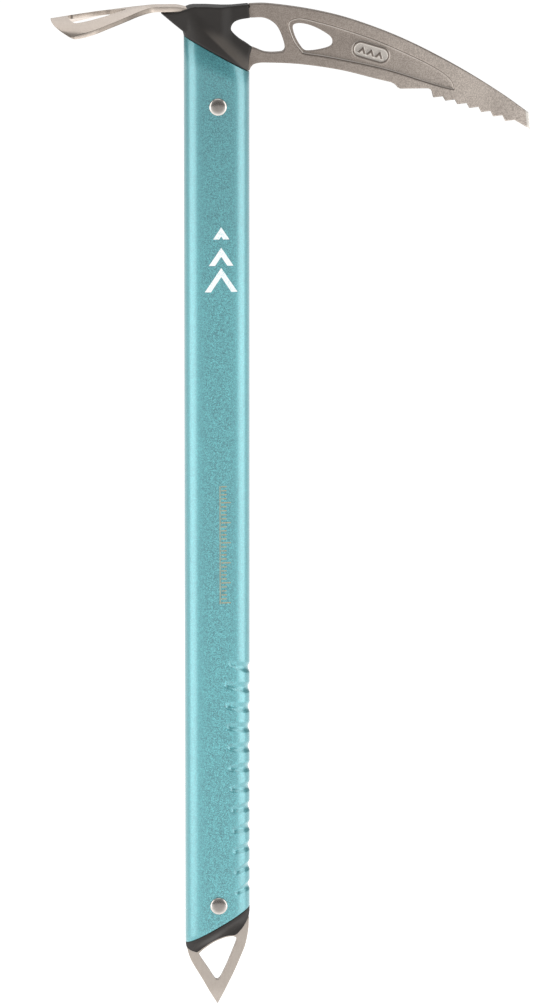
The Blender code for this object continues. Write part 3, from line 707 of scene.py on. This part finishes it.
def build_shaft_skin(shaft):
    around, fine = 144, 0.42
    groove_high = shaft.groove_top + 8
    groove_low = shaft.groove_top - shaft.groove_pitch * (shaft.groove_count - 1) - 8
    rows = np.arange(groove_low, groove_high, fine).tolist()
    rows += np.arange(groove_high, HEAD_RIVET_Z, 12.0).tolist()
    angles = [2 * math.pi * i / around for i in range(around)]
    outer = [oval_point(a, SHAFT_HALF_X, SHAFT_HALF_Y) for a in angles]
    inner = [oval_point(a, SHAFT_HALF_X - shaft.wall, SHAFT_HALF_Y - shaft.wall) for a in angles]
    bm = bmesh.new()

    def level(points, height, pulled=0.0, pressed=False):
        verts = []
        for x, y in points:
            z = height(x)
            depth = pulled + (groove_depth(shaft, x, z) if pressed else 0.0)
            scale = 1 - depth / math.hypot(x, y)
            verts.append(bm.verts.new(place(x * scale, y * scale, z)))
        return verts

    def foot(rise):
        return lambda x: cut_height(FOOT_CUT, x) + rise

    def head(drop):
        return lambda x: cut_height(TOP_CUT, x) - drop

    lip = 0.3
    levels = [
        level(inner, head(0)), level(inner, foot(0)), level(outer, foot(0), lip),
        level(outer, foot(lip * 0.35), lip * 0.3), level(outer, foot(lip), pressed=True)]
    for k in range(1, 9):
        levels.append(level(
            outer, lambda x: mix(foot(lip)(x), rows[0], k / 9), pressed=True))
    for row in rows:
        levels.append(level(outer, lambda x: row, pressed=True))
    for k in (1, 2):
        levels.append(level(outer, lambda x: mix(rows[-1], head(lip)(x), k / 3)))
    levels += [level(outer, head(lip)), level(outer, head(lip * 0.35), lip * 0.3),
               level(outer, head(0), lip)]
    for below, above in zip(levels, levels[1:] + levels[:1]):
        bridge(bm, below, above)
    return finished("shaft_tube", bm, 30)


# ---------------------------------------------------------------------------- pick
PICK_BACK = [
    (15.7, 500.0), (25.0, 500.0), (42.4, 497.6), (59.9, 493.7), (77.4, 487.8), (93.0, 481.2),
    (108.6, 473.3), (124.3, 464.3), (140.0, 454.2), (152.1, 445.4)]
PICK_POINT = (152.85, 437.3)
PICK_BELLY = [
    (84.8, 461.1), (77.5, 462.9), (59.9, 467.4), (40.4, 470.4), (24.0, 471.3),
    (19.4, 471.0)]
EYE = [
    (16.4, 493.4), (22.0, 493.4), (25.8, 492.1), (28.8, 489.7), (30.9, 486.2), (32.6, 481.6),
    (33.2, 478.4), (32.3, 476.8), (30.0, 476.3), (26.0, 476.2), (22.3, 476.8), (17.3, 478.8)]
EYE_NECK = [
    (13.0, 478.9), (9.0, 481.4), (6.0, 484.6), (4.9, 488.3), (6.2, 491.9), (9.6, 493.9),
    (13.5, 494.2)]
LIGHTENING_HOLE = [
    (37.0, 488.6), (38.7, 490.2), (42.4, 490.1), (46.8, 488.8), (51.2, 486.6), (55.1, 483.9),
    (56.4, 481.2), (55.2, 478.9), (50.2, 477.4), (45.3, 476.8), (42.8, 477.1), (40.9, 479.1),
    (38.3, 483.7)]
RECESS = [
    (34.5, 488.5), (35.2, 491.6), (38.6, 493.1), (42.3, 493.0), (50.1, 491.0), (59.4, 488.3),
    (76.9, 482.2), (89.1, 476.9), (101.5, 470.9), (109.8, 465.9), (114.0, 462.2), (115.6, 458.6),
    (114.4, 457.2), (101.5, 460.8), (89.1, 464.9), (76.9, 468.4), (59.4, 472.2), (50.1, 474.0),
    (42.5, 475.2), (40.6, 476.6), (37.1, 481.4)]
PAD = (75.0, 475.8, 18.5, 8.0, -17.0)     # centre x, z, length, height, turn in degrees


def pick_outline(pick):
    points = curve(PICK_BACK, 8)
    points.append(PICK_POINT)
    for i in reversed(range(pick.teeth)):
        x = 105.5 + pick.tooth_pitch * i
        z = 453.4 - 1.6 * i - 0.067 * i * i
        points += [(x + 4.55, z + 0.5), (x, z)]
    points += curve([(104.9, 456.0), (104.2, 457.3), (102.8, 457.9)], 3)
    points += curve([(89.2, 457.9), (88.0, 458.6), (86.6, 460.1), (84.8, 461.1)], 3)[:-1]
    points += curve(PICK_BELLY, 8)
    points += curve([(17.9, 470.5), (16.6, 469.2), (15.9, 467.6)], 3)
    points += [(13.5, 467.6), (12.0, 470.6), (-10.0, 470.6), (-10.0, 494.0), (3.4, 498.1),
               (15.5, 498.1)]
    return points


def pill(centre_x, centre_z, size, height, turn, steps=12):
    radius = height / 2
    c, s = math.cos(math.radians(turn)), math.sin(math.radians(turn))
    points = []
    for side in (1, -1):
        for k in range(steps + 1):
            angle = math.pi * (k / steps - 0.5)
            x = side * (size / 2 - radius + radius * math.cos(angle))
            z = side * radius * math.sin(angle)
            points.append((centre_x + x * c - z * s, centre_z + x * s + z * c))
    return points


def peak(centre_x, centre_z, width, height, stroke, turn):
    """Outline of one plain chevron."""
    c, s = math.cos(math.radians(turn)), math.sin(math.radians(turn))
    half = width / 2
    shape = [(-half, -height / 2), (0, height / 2), (half, -height / 2),
             (half - stroke, -height / 2), (0, height / 2 - stroke * height / half),
             (stroke - half, -height / 2)]
    return [(centre_x + x * c - z * s, centre_z + x * s + z * c) for x, z in shape]


def build_pick_skin(pick):
    def half(x, _):
        share = max(0.0, (x - pick.taper_from) / (PICK_POINT[0] - pick.taper_from))
        return PICK_HALF - (PICK_HALF - pick.tip_half) * share ** TAPER_POWER

    deep = pick.recess_depth
    lip = [(-0.5, 0.0), (-0.25, 0.0), (-0.05, 0.08), (0.2, 0.28), (0.45, 0.55), (0.7, 0.8),
           (0.95, 0.95), (1.25, 1.0)]
    pad_x, pad_z, pad_length, pad_height, turn = PAD
    border = [(-0.75, 0.0), (-0.4, -0.05), (-0.15, -0.3), (0.05, -0.55), (0.3, -0.66),
              (0.6, -0.6), (0.8, -0.38), (1.0, -0.2), (1.3, -0.16)]
    relief = [
        (dense(curve(RECESS, 6, closed=True), 0.9),
         [(inwards, down * deep) for inwards, down in lip]),
        (dense(pill(pad_x, pad_z, pad_length, pad_height, turn), 0.7), border)]
    raised = [(-0.25, 0.0), (-0.08, -0.06), (0.08, -0.3), (0.22, -0.38)]
    along = Vector((math.cos(math.radians(turn)), math.sin(math.radians(turn))))
    for step in (-1, 0, 1):
        centre = Vector((pad_x, pad_z)) + along * 4.3 * step
        shape = peak(centre.x, centre.y, 4.6, 3.6, 1.35, turn)
        relief.append((dense(shape, 0.7), raised))
    outlines = [
        (dense(pick_outline(pick), 2.0), pick.edge),
        (curve(EYE + EYE_NECK, 6, closed=True), -pick.edge),
        (curve(LIGHTENING_HOLE, 6, closed=True), -0.35)]
    return plate_mesh("pick_forging", half, outlines, relief, 1.8, 38)


# ---------------------------------------------------------------------------- adze
# x on the centre line, half width, height of the top face, sheet thickness, droop of the
# sides, how far the sides lag behind the centre line.
ADZE_STATIONS = [
    (2.9, 5.3, 497.5, 2.6, 0.0, 0.0), (-9.0, 5.3, 497.5, 2.6, 0.0, 0.0),
    (-13.5, 5.3, 498.1, 2.6, 0.0, 0.0), (-19.0, 5.3, 499.3, 2.6, 0.0, 0.0),
    (-25.0, 5.3, 499.4, 2.6, 0.0, 0.0), (-31.0, 5.6, 499.4, 2.6, 0.1, 0.0),
    (-37.5, 9.6, 499.0, 2.4, 0.95, 0.3), (-45.3, 17.0, 497.6, 2.3, 1.35, 1.0),
    (-51.0, 21.5, 496.8, 2.2, 1.95, 1.8), (-57.0, 25.6, 496.0, 2.2, 2.4, 3.0),
    (-64.3, 29.2, 495.0, 2.1, 3.2, 4.6), (-72.0, 30.7, 494.0, 2.0, 3.85, 6.4),
    (-77.5, 30.4, 493.3, 1.4, 4.5, 7.6), (-80.4, 29.0, 493.0, 0.4, 4.7, 8.2)]
WINDOW_EDGE = [
    (-43.5, 0.0), (-46.0, 3.0), (-51.0, 6.9), (-54.2, 10.1), (-60.0, 13.3), (-64.5, 15.0),
    (-68.8, 15.6), (-71.0, 13.5), (-72.2, 0.0)]


def build_adze_skin():
    keys = curve(ADZE_STATIONS, 6)
    edge = curve(WINDOW_EDGE, 4)
    window_start = WINDOW_EDGE[0][0]
    places = {round(k[0], 3) for k in keys} | {round(min(window_start, e[0]), 3) for e in edge}
    places = sorted(places, reverse=True)

    def read(table, x):
        for a, b in zip(table, table[1:]):
            if b[0] <= x <= a[0] and a[0] > b[0]:
                share = (a[0] - x) / (a[0] - b[0])
                return [mix(p, q, share) for p, q in zip(a, b)]
        return list(table[0] if x > table[0][0] else table[-1])

    def opening(x):
        if not -72.3 < x < window_start:
            return 0.0
        return max(0.0, read(edge, x)[1])

    across = 14
    bm = bmesh.new()
    for side in (-1, 1):
        upper, lower, inner_widths = [], [], []
        for x in places:
            _, width, top, thick, droop, lag = read(keys, x)
            start = opening(x)
            inner_widths.append(start)
            up_row, low_row = [], []
            for k in range(across + 1):
                y = mix(start, width, 1 - (1 - k / across) ** 1.25)
                share = y / width
                point_x = x + lag * share ** 2.6
                z = top - droop * share * share
                up_row.append(bm.verts.new(place(point_x, side * y, z)))
                low_row.append(bm.verts.new(place(point_x, side * y, z - thick)))
            upper.append(up_row)
            lower.append(low_row)
        for r in range(len(places) - 1):
            for k in range(across):
                for grid in (upper, lower):
                    bm.faces.new((grid[r][k], grid[r][k + 1], grid[r + 1][k + 1], grid[r + 1][k]))
            walls = [across]
            if inner_widths[r] > 0 or inner_widths[r + 1] > 0:
                walls.append(0)
            for k in walls:
                bm.faces.new((upper[r][k], upper[r + 1][k], lower[r + 1][k], lower[r][k]))
        for r in (0, len(places) - 1):
            for k in range(across):
                bm.faces.new((upper[r][k], upper[r][k + 1], lower[r][k + 1], lower[r][k]))
    bmesh.ops.remove_doubles(bm, verts=bm.verts, dist=3e-6)
    bmesh.ops.dissolve_degenerate(bm, edges=bm.edges, dist=1e-6)
    adze = finished("adze_sheet", bm, 35)
    soften(adze, 0.4, 2, 50)
    return adze


def soften(obj, width, segments, angle):
    """Round the sharp edges with a Bevel and keep the result as the mesh."""
    step = obj.modifiers.new("edges", "BEVEL")
    step.width = width * MM
    step.segments = segments
    step.limit_method = "ANGLE"
    step.angle_limit = math.radians(angle)
    bpy.context.view_layer.update()
    graph = bpy.context.evaluated_depsgraph_get()
    mesh = bpy.data.meshes.new_from_object(obj.evaluated_get(graph))
    obj.modifiers.clear()
    obj.data = mesh
    mesh.shade_smooth()
    mesh.set_sharp_from_angle(angle=math.radians(45))


# ---------------------------------------------------------------------------- mouldings
COVER_EYE = [
    (16.0, 493.35), (11.2, 492.6), (8.2, 491.2), (6.8, 488.5), (7.9, 485.9), (11.2, 482.8),
    (14.0, 481.0), (17.0, 478.9)]
COVER_TOP = [(15.3, 499.9), (8.0, 499.3), (2.5, 498.9), (-5.0, 499.3), (-11.0, 499.35)]
COVER_NOSE = [(-12.8, 499.1), (-18.0, 497.0), (-27.0, 496.0)]
COVER_BACK = [(-21.5, 491.3), (-16.3, 487.0)]
PLUG_FOOT = [
    (-15.6, 30.4), (-13.1, 28.6), (-11.0, 27.7), (-9.8, 27.9), (-6.0, 30.7), (-1.6, 33.4),
    (4.2, 35.6), (8.6, 36.1), (11.2, 38.5), (13.2, 41.3), (14.8, 44.5), (15.75, 48.0)]


def past_crease(x, z):
    """How far a point of the cover is on the pick's side of the crease across it."""
    return (x + 7.3) * 0.693 + (z - 488.7) * 0.721


def cover_half(x, z):
    """Half thickness of the cover: the shaft's oval at its foot, thin round the pick's arms."""
    foot = cut_height(TOP_CUT, max(-16.0, min(16.0, x)))
    rise = (z - foot) / (499.3 - foot)
    tube = max(0.6, oval_y(max(-mix(15.95, 14.6, smooth(rise * 5)), min(15.9, x))))
    crown = mix(7.2, 5.9, smooth((-x - 14) / 12))
    wide = mix(max(tube, 1.5), crown, smooth(rise * 1.05))
    stem_end = smooth((x - 1) / 7)      # 0 over the adze's stem, 1 past its end
    scoop = min(max(past_crease(x, z) / mix(4.5, 8.5, stem_end), 0.0), 1.0)
    crisp = (1 - scoop) ** 1.7
    soft = 1 - smooth(scoop * 1.1 - 0.1)
    floor = min(wide, mix(6.9, 4.2, stem_end))
    body = mix(floor, wide, mix(crisp, soft, smooth((z - 482) / 14)))
    return mix(tube, body, smooth((z - foot - 0.2) / 3.0))


def build_cover_skin():
    foot_edge = [
        (x, cut_height(TOP_CUT, x) + SEAM) for x in np.linspace(-15.95, 15.2, 60).tolist()]
    loop = foot_edge + [(16.2, 473.5)] + [(17.0, 478.9)]
    loop += curve(COVER_EYE, 5)[::-1][1:]
    loop += COVER_TOP + COVER_NOSE + COVER_BACK + [(-16.05, 485.2)]
    return plate_mesh(
        "head_cover_moulding", cover_half, [(dense(loop, 0.8), 0.9)], spacing=0.75, auto_smooth=42)


def plug_half(x, z):
    top = cut_height(FOOT_CUT, x)
    wide = max(0.6, oval_y(max(-15.9, min(15.9, x))))
    lip = min(wide, 3.4)
    return mix(lip, wide, smooth(1.15 - (top - z) / 6.5) ** 0.8)


def build_plug_skin():
    top_edge = [
        (x, cut_height(FOOT_CUT, x) - SEAM) for x in np.linspace(15.85, -15.85, 60).tolist()]
    loop = curve(PLUG_FOOT, 4) + top_edge
    return plate_mesh(
        "spike_plug_moulding", plug_half, [(dense(loop, 0.8), 0.3)], spacing=0.75, auto_smooth=42)


# ---------------------------------------------------------------------------- spike
SPIKE_REAR = [(0.0, 0.45), (-3.8, 6.6), (-7.8, 13.7), (-12.2, 21.1), (-14.3, 25.7), (-15.4, 30.0)]
SPIKE_FRONT = [(15.6, 44.6), (15.2, 37.9), (13.8, 30.9), (12.2, 26.5), (8.2, 17.1), (4.2, 8.9)]
SPIKE_WINDOW = [
    (-8.9, 25.6), (-8.3, 27.3), (-5.7, 29.5), (-1.4, 32.3), (4.2, 34.5), (8.0, 34.8),
    (9.2, 33.3), (7.4, 28.2), (4.2, 20.4), (1.3, 14.5), (0.0, 13.4), (-1.4, 13.9), (-4.6, 18.9)]


def build_spike_skin():
    def half(_, z):
        return mix(0.7, SPIKE_HALF, smooth(z / 9.0))

    outline = curve(SPIKE_REAR, 6)[:-1] + [SPIKE_REAR[-1], (-11.0, 34.0), (11.0, 46.0)]
    outline += curve(SPIKE_FRONT + [SPIKE_REAR[0]], 6)[:-1]
    outlines = [(dense(outline, 1.5), 0.35), (curve(SPIKE_WINDOW, 6, closed=True), -0.4)]
    return plate_mesh("spike_plate", half, outlines, spacing=1.6, auto_smooth=38)


# ---------------------------------------------------------------------------- rivets
def build_rivet_skin(name, z):
    """A shank with a domed, slightly flattened head on each side of the shaft."""
    height, radius = 1.55, 4.3
    seat = SHAFT_HALF_Y - 0.25
    rows = [(seat, 2.4), (seat, radius - 0.15), (seat + 0.12, radius), (seat + 0.45, radius)]
    for k in range(1, 13):
        angle = math.pi / 2 * k / 13
        rows.append((seat + 0.45 + (height - 0.2) * math.sin(angle) ** 0.9,
                     radius * math.cos(angle) ** 0.85))
    profile = [(-y, r) for y, r in reversed(rows)] + rows
    segments = 48
    bm = bmesh.new()
    rings = []
    for y, r in profile:
        angles = [2 * math.pi * i / segments for i in range(segments)]
        rings.append(ring(bm, [(r * math.cos(a), z + r * math.sin(a)) for a in angles], y))
    for a, b in zip(rings, rings[1:]):
        bridge(bm, a, b)
    for end in (rings[0], rings[-1]):
        bm.faces.new(end)
    return finished(name, bm, 50)


# ---------------------------------------------------------------------------- prints
def print_film(name, shapes):
    """Thin printed shapes that follow the near side of the shaft's oval."""
    lift, sunk, spacing = 0.03, 0.02, 1.2
    bm = bmesh.new()
    for loops in shapes:
        loops = [dense(turned_ccw(loop), spacing) for loop in loops]
        border = np.concatenate([np.array(loop) for loop in loops])
        points = np.concatenate([border, grid_points(loops, spacing, spacing * 0.4)])
        layers = [[bm.verts.new(place(x, -oval_y(x) + level, z)) for x, z in points]
                  for level in (-lift, sunk)]
        for face in triangles(points, loops):
            for verts in layers:
                bm.faces.new([verts[i] for i in face])
        base = 0
        for loop in loops:
            end = base + len(loop)
            bridge(bm, layers[0][base:end], layers[1][base:end])
            base = end
    return finished(name, bm, 50)


def mark_shapes():
    """A stack of three plain peaks that grow downwards."""
    shapes = []
    for step, (width, height) in enumerate(((8.0, 6.0), (12.0, 9.0), (16.0, 12.0))):
        shapes.append([peak(1.5, 389.0 - 11.5 * step, width, height, 3.0, 0.0)])
    return shapes


def scale_shapes():
    """A ruler of fine ticks beside one thin line."""
    shapes = [[[(0.6, 205.0), (0.95, 205.0), (0.95, 264.0), (0.6, 264.0)]]]
    for k in range(30):
        z = 205.4 + 2.0 * k
        reach = 4.6 if k % 5 == 0 else 2.6
        shapes.append([[(1.4, z), (1.4 + reach, z), (1.4 + reach, z + 0.45), (1.4, z + 0.45)]])
    return shapes


# ---------------------------------------------------------------------------- operators
class BuildPiece:
    """What the build operators share."""

    bl_options = {"REGISTER", "UNDO"}

    @staticmethod
    def colours(context):
        return context.scene.axe_colours


class AXE_OT_shaft(BuildPiece, bpy.types.Operator):
    """Build the oval tube with its pressed grip grooves"""

    bl_idname = "axe.build_shaft"
    bl_label = "Shaft"

    def execute(self, context):
        piece = build_shaft_skin(context.scene.axe_shaft)
        own(piece, "shaft", turquoise_lacquer(self.colours(context)))
        return {"FINISHED"}


class AXE_OT_pick(BuildPiece, bpy.types.Operator):
    """Build the forged pick with its recess, holes and teeth"""

    bl_idname = "axe.build_pick"
    bl_label = "Pick"

    def execute(self, context):
        piece = build_pick_skin(context.scene.axe_pick)
        own(piece, "pick", forged_steel(self.colours(context)))
        return {"FINISHED"}


class AXE_OT_adze(BuildPiece, bpy.types.Operator):
    """Build the arched sheet-steel adze"""

    bl_idname = "axe.build_adze"
    bl_label = "Adze"

    def execute(self, context):
        own(build_adze_skin(), "adze", brushed_sheet(self.colours(context)))
        return {"FINISHED"}


class AXE_OT_mouldings(BuildPiece, bpy.types.Operator):
    """Build the black head cover and the end plug"""

    bl_idname = "axe.build_mouldings"
    bl_label = "Mouldings"

    def execute(self, context):
        black = black_moulding(self.colours(context))
        own(build_cover_skin(), "head_cover", black)
        own(build_plug_skin(), "spike_plug", black)
        return {"FINISHED"}


class AXE_OT_spike(BuildPiece, bpy.types.Operator):
    """Build the spike's plate"""

    bl_idname = "axe.build_spike"
    bl_label = "Spike"

    def execute(self, context):
        own(build_spike_skin(), "spike", tumbled_plate(self.colours(context)))
        return {"FINISHED"}


class AXE_OT_rivets(BuildPiece, bpy.types.Operator):
    """Build the two cross rivets and give the hidden ones their finish"""

    bl_idname = "axe.build_rivets"
    bl_label = "Rivets"

    def execute(self, context):
        steel = pressed_rivet(self.colours(context))
        for name, z in (("head_rivet", HEAD_RIVET_Z), ("spike_rivet", SPIKE_RIVET_Z)):
            own(build_rivet_skin(name + "_domes", z), name, steel)
        for name in ("adze_rivet_front", "adze_rivet_rear"):
            refinish(name, steel)
        return {"FINISHED"}


class AXE_OT_fillers(BuildPiece, bpy.types.Operator):
    """Give the fillers inside the shaft their finish"""

    bl_idname = "axe.finish_fillers"
    bl_label = "Fillers"

    def execute(self, context):
        plastic = filler_moulding(self.colours(context))
        for name in ("tang_shim_left", "tang_shim_right"):
            refinish(name, plastic)
        return {"FINISHED"}


class AXE_OT_prints(BuildPiece, bpy.types.Operator):
    """Print the plain mark and the fine scale on the shaft"""

    bl_idname = "axe.build_prints"
    bl_label = "Prints"

    def execute(self, context):
        colours = self.colours(context)
        white = printed_ink("white_ink", colours.ink_white, colours.lacquer_light)
        orange = printed_ink("orange_ink", colours.ink_orange, colours.lacquer_deep)
        own(print_film("peak_mark_print", mark_shapes()), None, white)
        own(print_film("scale_print", scale_shapes()), None, orange)
        return {"FINISHED"}


class AXE_OT_stage(BuildPiece, bpy.types.Operator):
    """Set the floor, the lights and the camera"""

    bl_idname = "axe.build_stage"
    bl_label = "Stage"

    def execute(self, context):
        stage = context.scene.axe_stage
        context.scene.view_settings.view_transform = "Standard"
        build_floor(stage)
        build_world(context.scene)
        build_lights()
        build_camera(context.scene, stage)
        return {"FINISHED"}


class AXE_PT_panel(bpy.types.Panel):
    """The builder's panel in the 3D view's sidebar"""

    bl_idname = "AXE_PT_panel"
    bl_label = "Ice Axe"
    bl_space_type = "VIEW_3D"
    bl_region_type = "UI"
    bl_category = "Ice Axe"

    def draw(self, context):
        for kind in OPERATORS:
            self.layout.operator(kind.bl_idname)


def refinish(name, material):
    """Give a node of the frame a better material."""
    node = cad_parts[name]
    node.data.materials.clear()
    node.data.materials.append(material)


# ---------------------------------------------------------------------------- stage
LIGHTS = (                   # name, place from the shaft's middle, width, height, watts
    ("left_box", (-1.5, -0.55, 0.1), 1.1, 2.4, 17),
    ("right_box", (1.5, -0.55, 0.1), 1.0, 2.4, 15),
    ("top_panel", (0.0, -0.4, 1.9), 1.6, 1.6, 5),
    ("rear_panel", (-0.3, 1.4, 1.3), 2.4, 1.6, 9.5))
AIR_SEEN, AIR_LIGHT = 1.0, 0.33   # the white air as the camera sees it, and as it lights
LENS = 291.75                # millimetres
AIM = (24.3, 0.0, 253.2)     # where the camera looks, in millimetres


def build_floor(stage):
    size, height = 14.0, SPIKE_LOW.z - stage.floor_drop
    mesh = bpy.data.meshes.new("studio_floor")
    corners = [(-size, -size, height), (size, -size, height), (size, size, height),
               (-size, size, height)]
    mesh.from_pydata(corners, [], [(0, 1, 2, 3)])
    floor = bpy.data.objects.new("studio_floor", mesh)
    bpy.context.scene.collection.objects.link(floor)
    f = Finish("studio_paper")
    grain = f.noise(6, 2)
    paper = f.blend(grain * 0.04, rgb(250, 250, 250), rgb(240, 240, 240))
    floor.data.materials.append(f.set(
        Base_Color=paper, Roughness=0.9, Specular_IOR_Level=0.0,
        Emission_Color=(1.0, 1.0, 1.0, 1.0), Emission_Strength=0.75))


def build_world(scene):
    """White air behind the axe, a softer grey for what the axe reflects."""
    world = bpy.data.worlds.new("studio_air")
    scene.world = world
    world.use_nodes = True
    tree = world.node_tree
    background = tree.nodes["Background"]
    background.inputs["Color"].default_value = (1.0, 1.0, 1.0, 1.0)
    rays = tree.nodes.new("ShaderNodeLightPath")
    level = tree.nodes.new("ShaderNodeMapRange")
    level.inputs["To Min"].default_value = AIR_LIGHT
    level.inputs["To Max"].default_value = AIR_SEEN
    tree.links.new(rays.outputs["Is Camera Ray"], level.inputs["Value"])
    tree.links.new(level.outputs[0], background.inputs["Strength"])


def add_light(name, where, towards, width, height, power):
    data = bpy.data.lights.new(name, "AREA")
    data.shape = "RECTANGLE"
    data.size = width
    data.size_y = height
    data.energy = power
    light = bpy.data.objects.new(name, data)
    bpy.context.scene.collection.objects.link(light)
    light.location = where
    light.rotation_euler = (towards - where).to_track_quat("-Z", "Y").to_euler()


def build_lights():
    middle = place(0, 0, AXE_HEIGHT / 2)
    for name, offset, width, height, power in LIGHTS:
        add_light(name, middle + Vector(offset), middle, width, height, power)


def build_camera(scene, stage):
    data = bpy.data.cameras.new("camera")
    camera = bpy.data.objects.new("camera", data)
    scene.collection.objects.link(camera)
    direction = Vector((
        math.sin(stage.azimuth) * math.cos(stage.elevation),
        -math.cos(stage.azimuth) * math.cos(stage.elevation),
        math.sin(stage.elevation)))
    target = place(*AIM)
    camera.location = target + direction * stage.distance
    camera.rotation_euler = (-direction).to_track_quat("-Z", "Y").to_euler()
    data.lens = LENS
    data.clip_end = 60.0
    scene.camera = camera


SETTINGS = {
    "axe_colours": AxeColours, "axe_shaft": AxeShaft, "axe_pick": AxePick, "axe_stage": AxeStage}
OPERATORS = (
    AXE_OT_shaft, AXE_OT_pick, AXE_OT_adze, AXE_OT_mouldings, AXE_OT_spike, AXE_OT_rivets,
    AXE_OT_fillers, AXE_OT_prints, AXE_OT_stage)


def register():
    for name, kind in SETTINGS.items():
        bpy.utils.register_class(kind)
        setattr(bpy.types.Scene, name, bpy.props.PointerProperty(type=kind))
    for kind in OPERATORS:
        bpy.utils.register_class(kind)
    bpy.utils.register_class(AXE_PT_panel)


def unregister():
    bpy.utils.unregister_class(AXE_PT_panel)
    for kind in reversed(OPERATORS):
        bpy.utils.unregister_class(kind)
    for name, kind in reversed(list(SETTINGS.items())):
        delattr(bpy.types.Scene, name)
        bpy.utils.unregister_class(kind)


def main():
    register()
    for kind in OPERATORS:
        family, action = kind.bl_idname.split(".")
        getattr(getattr(bpy.ops, family), action)()


if __name__ == "__main__":
    main()
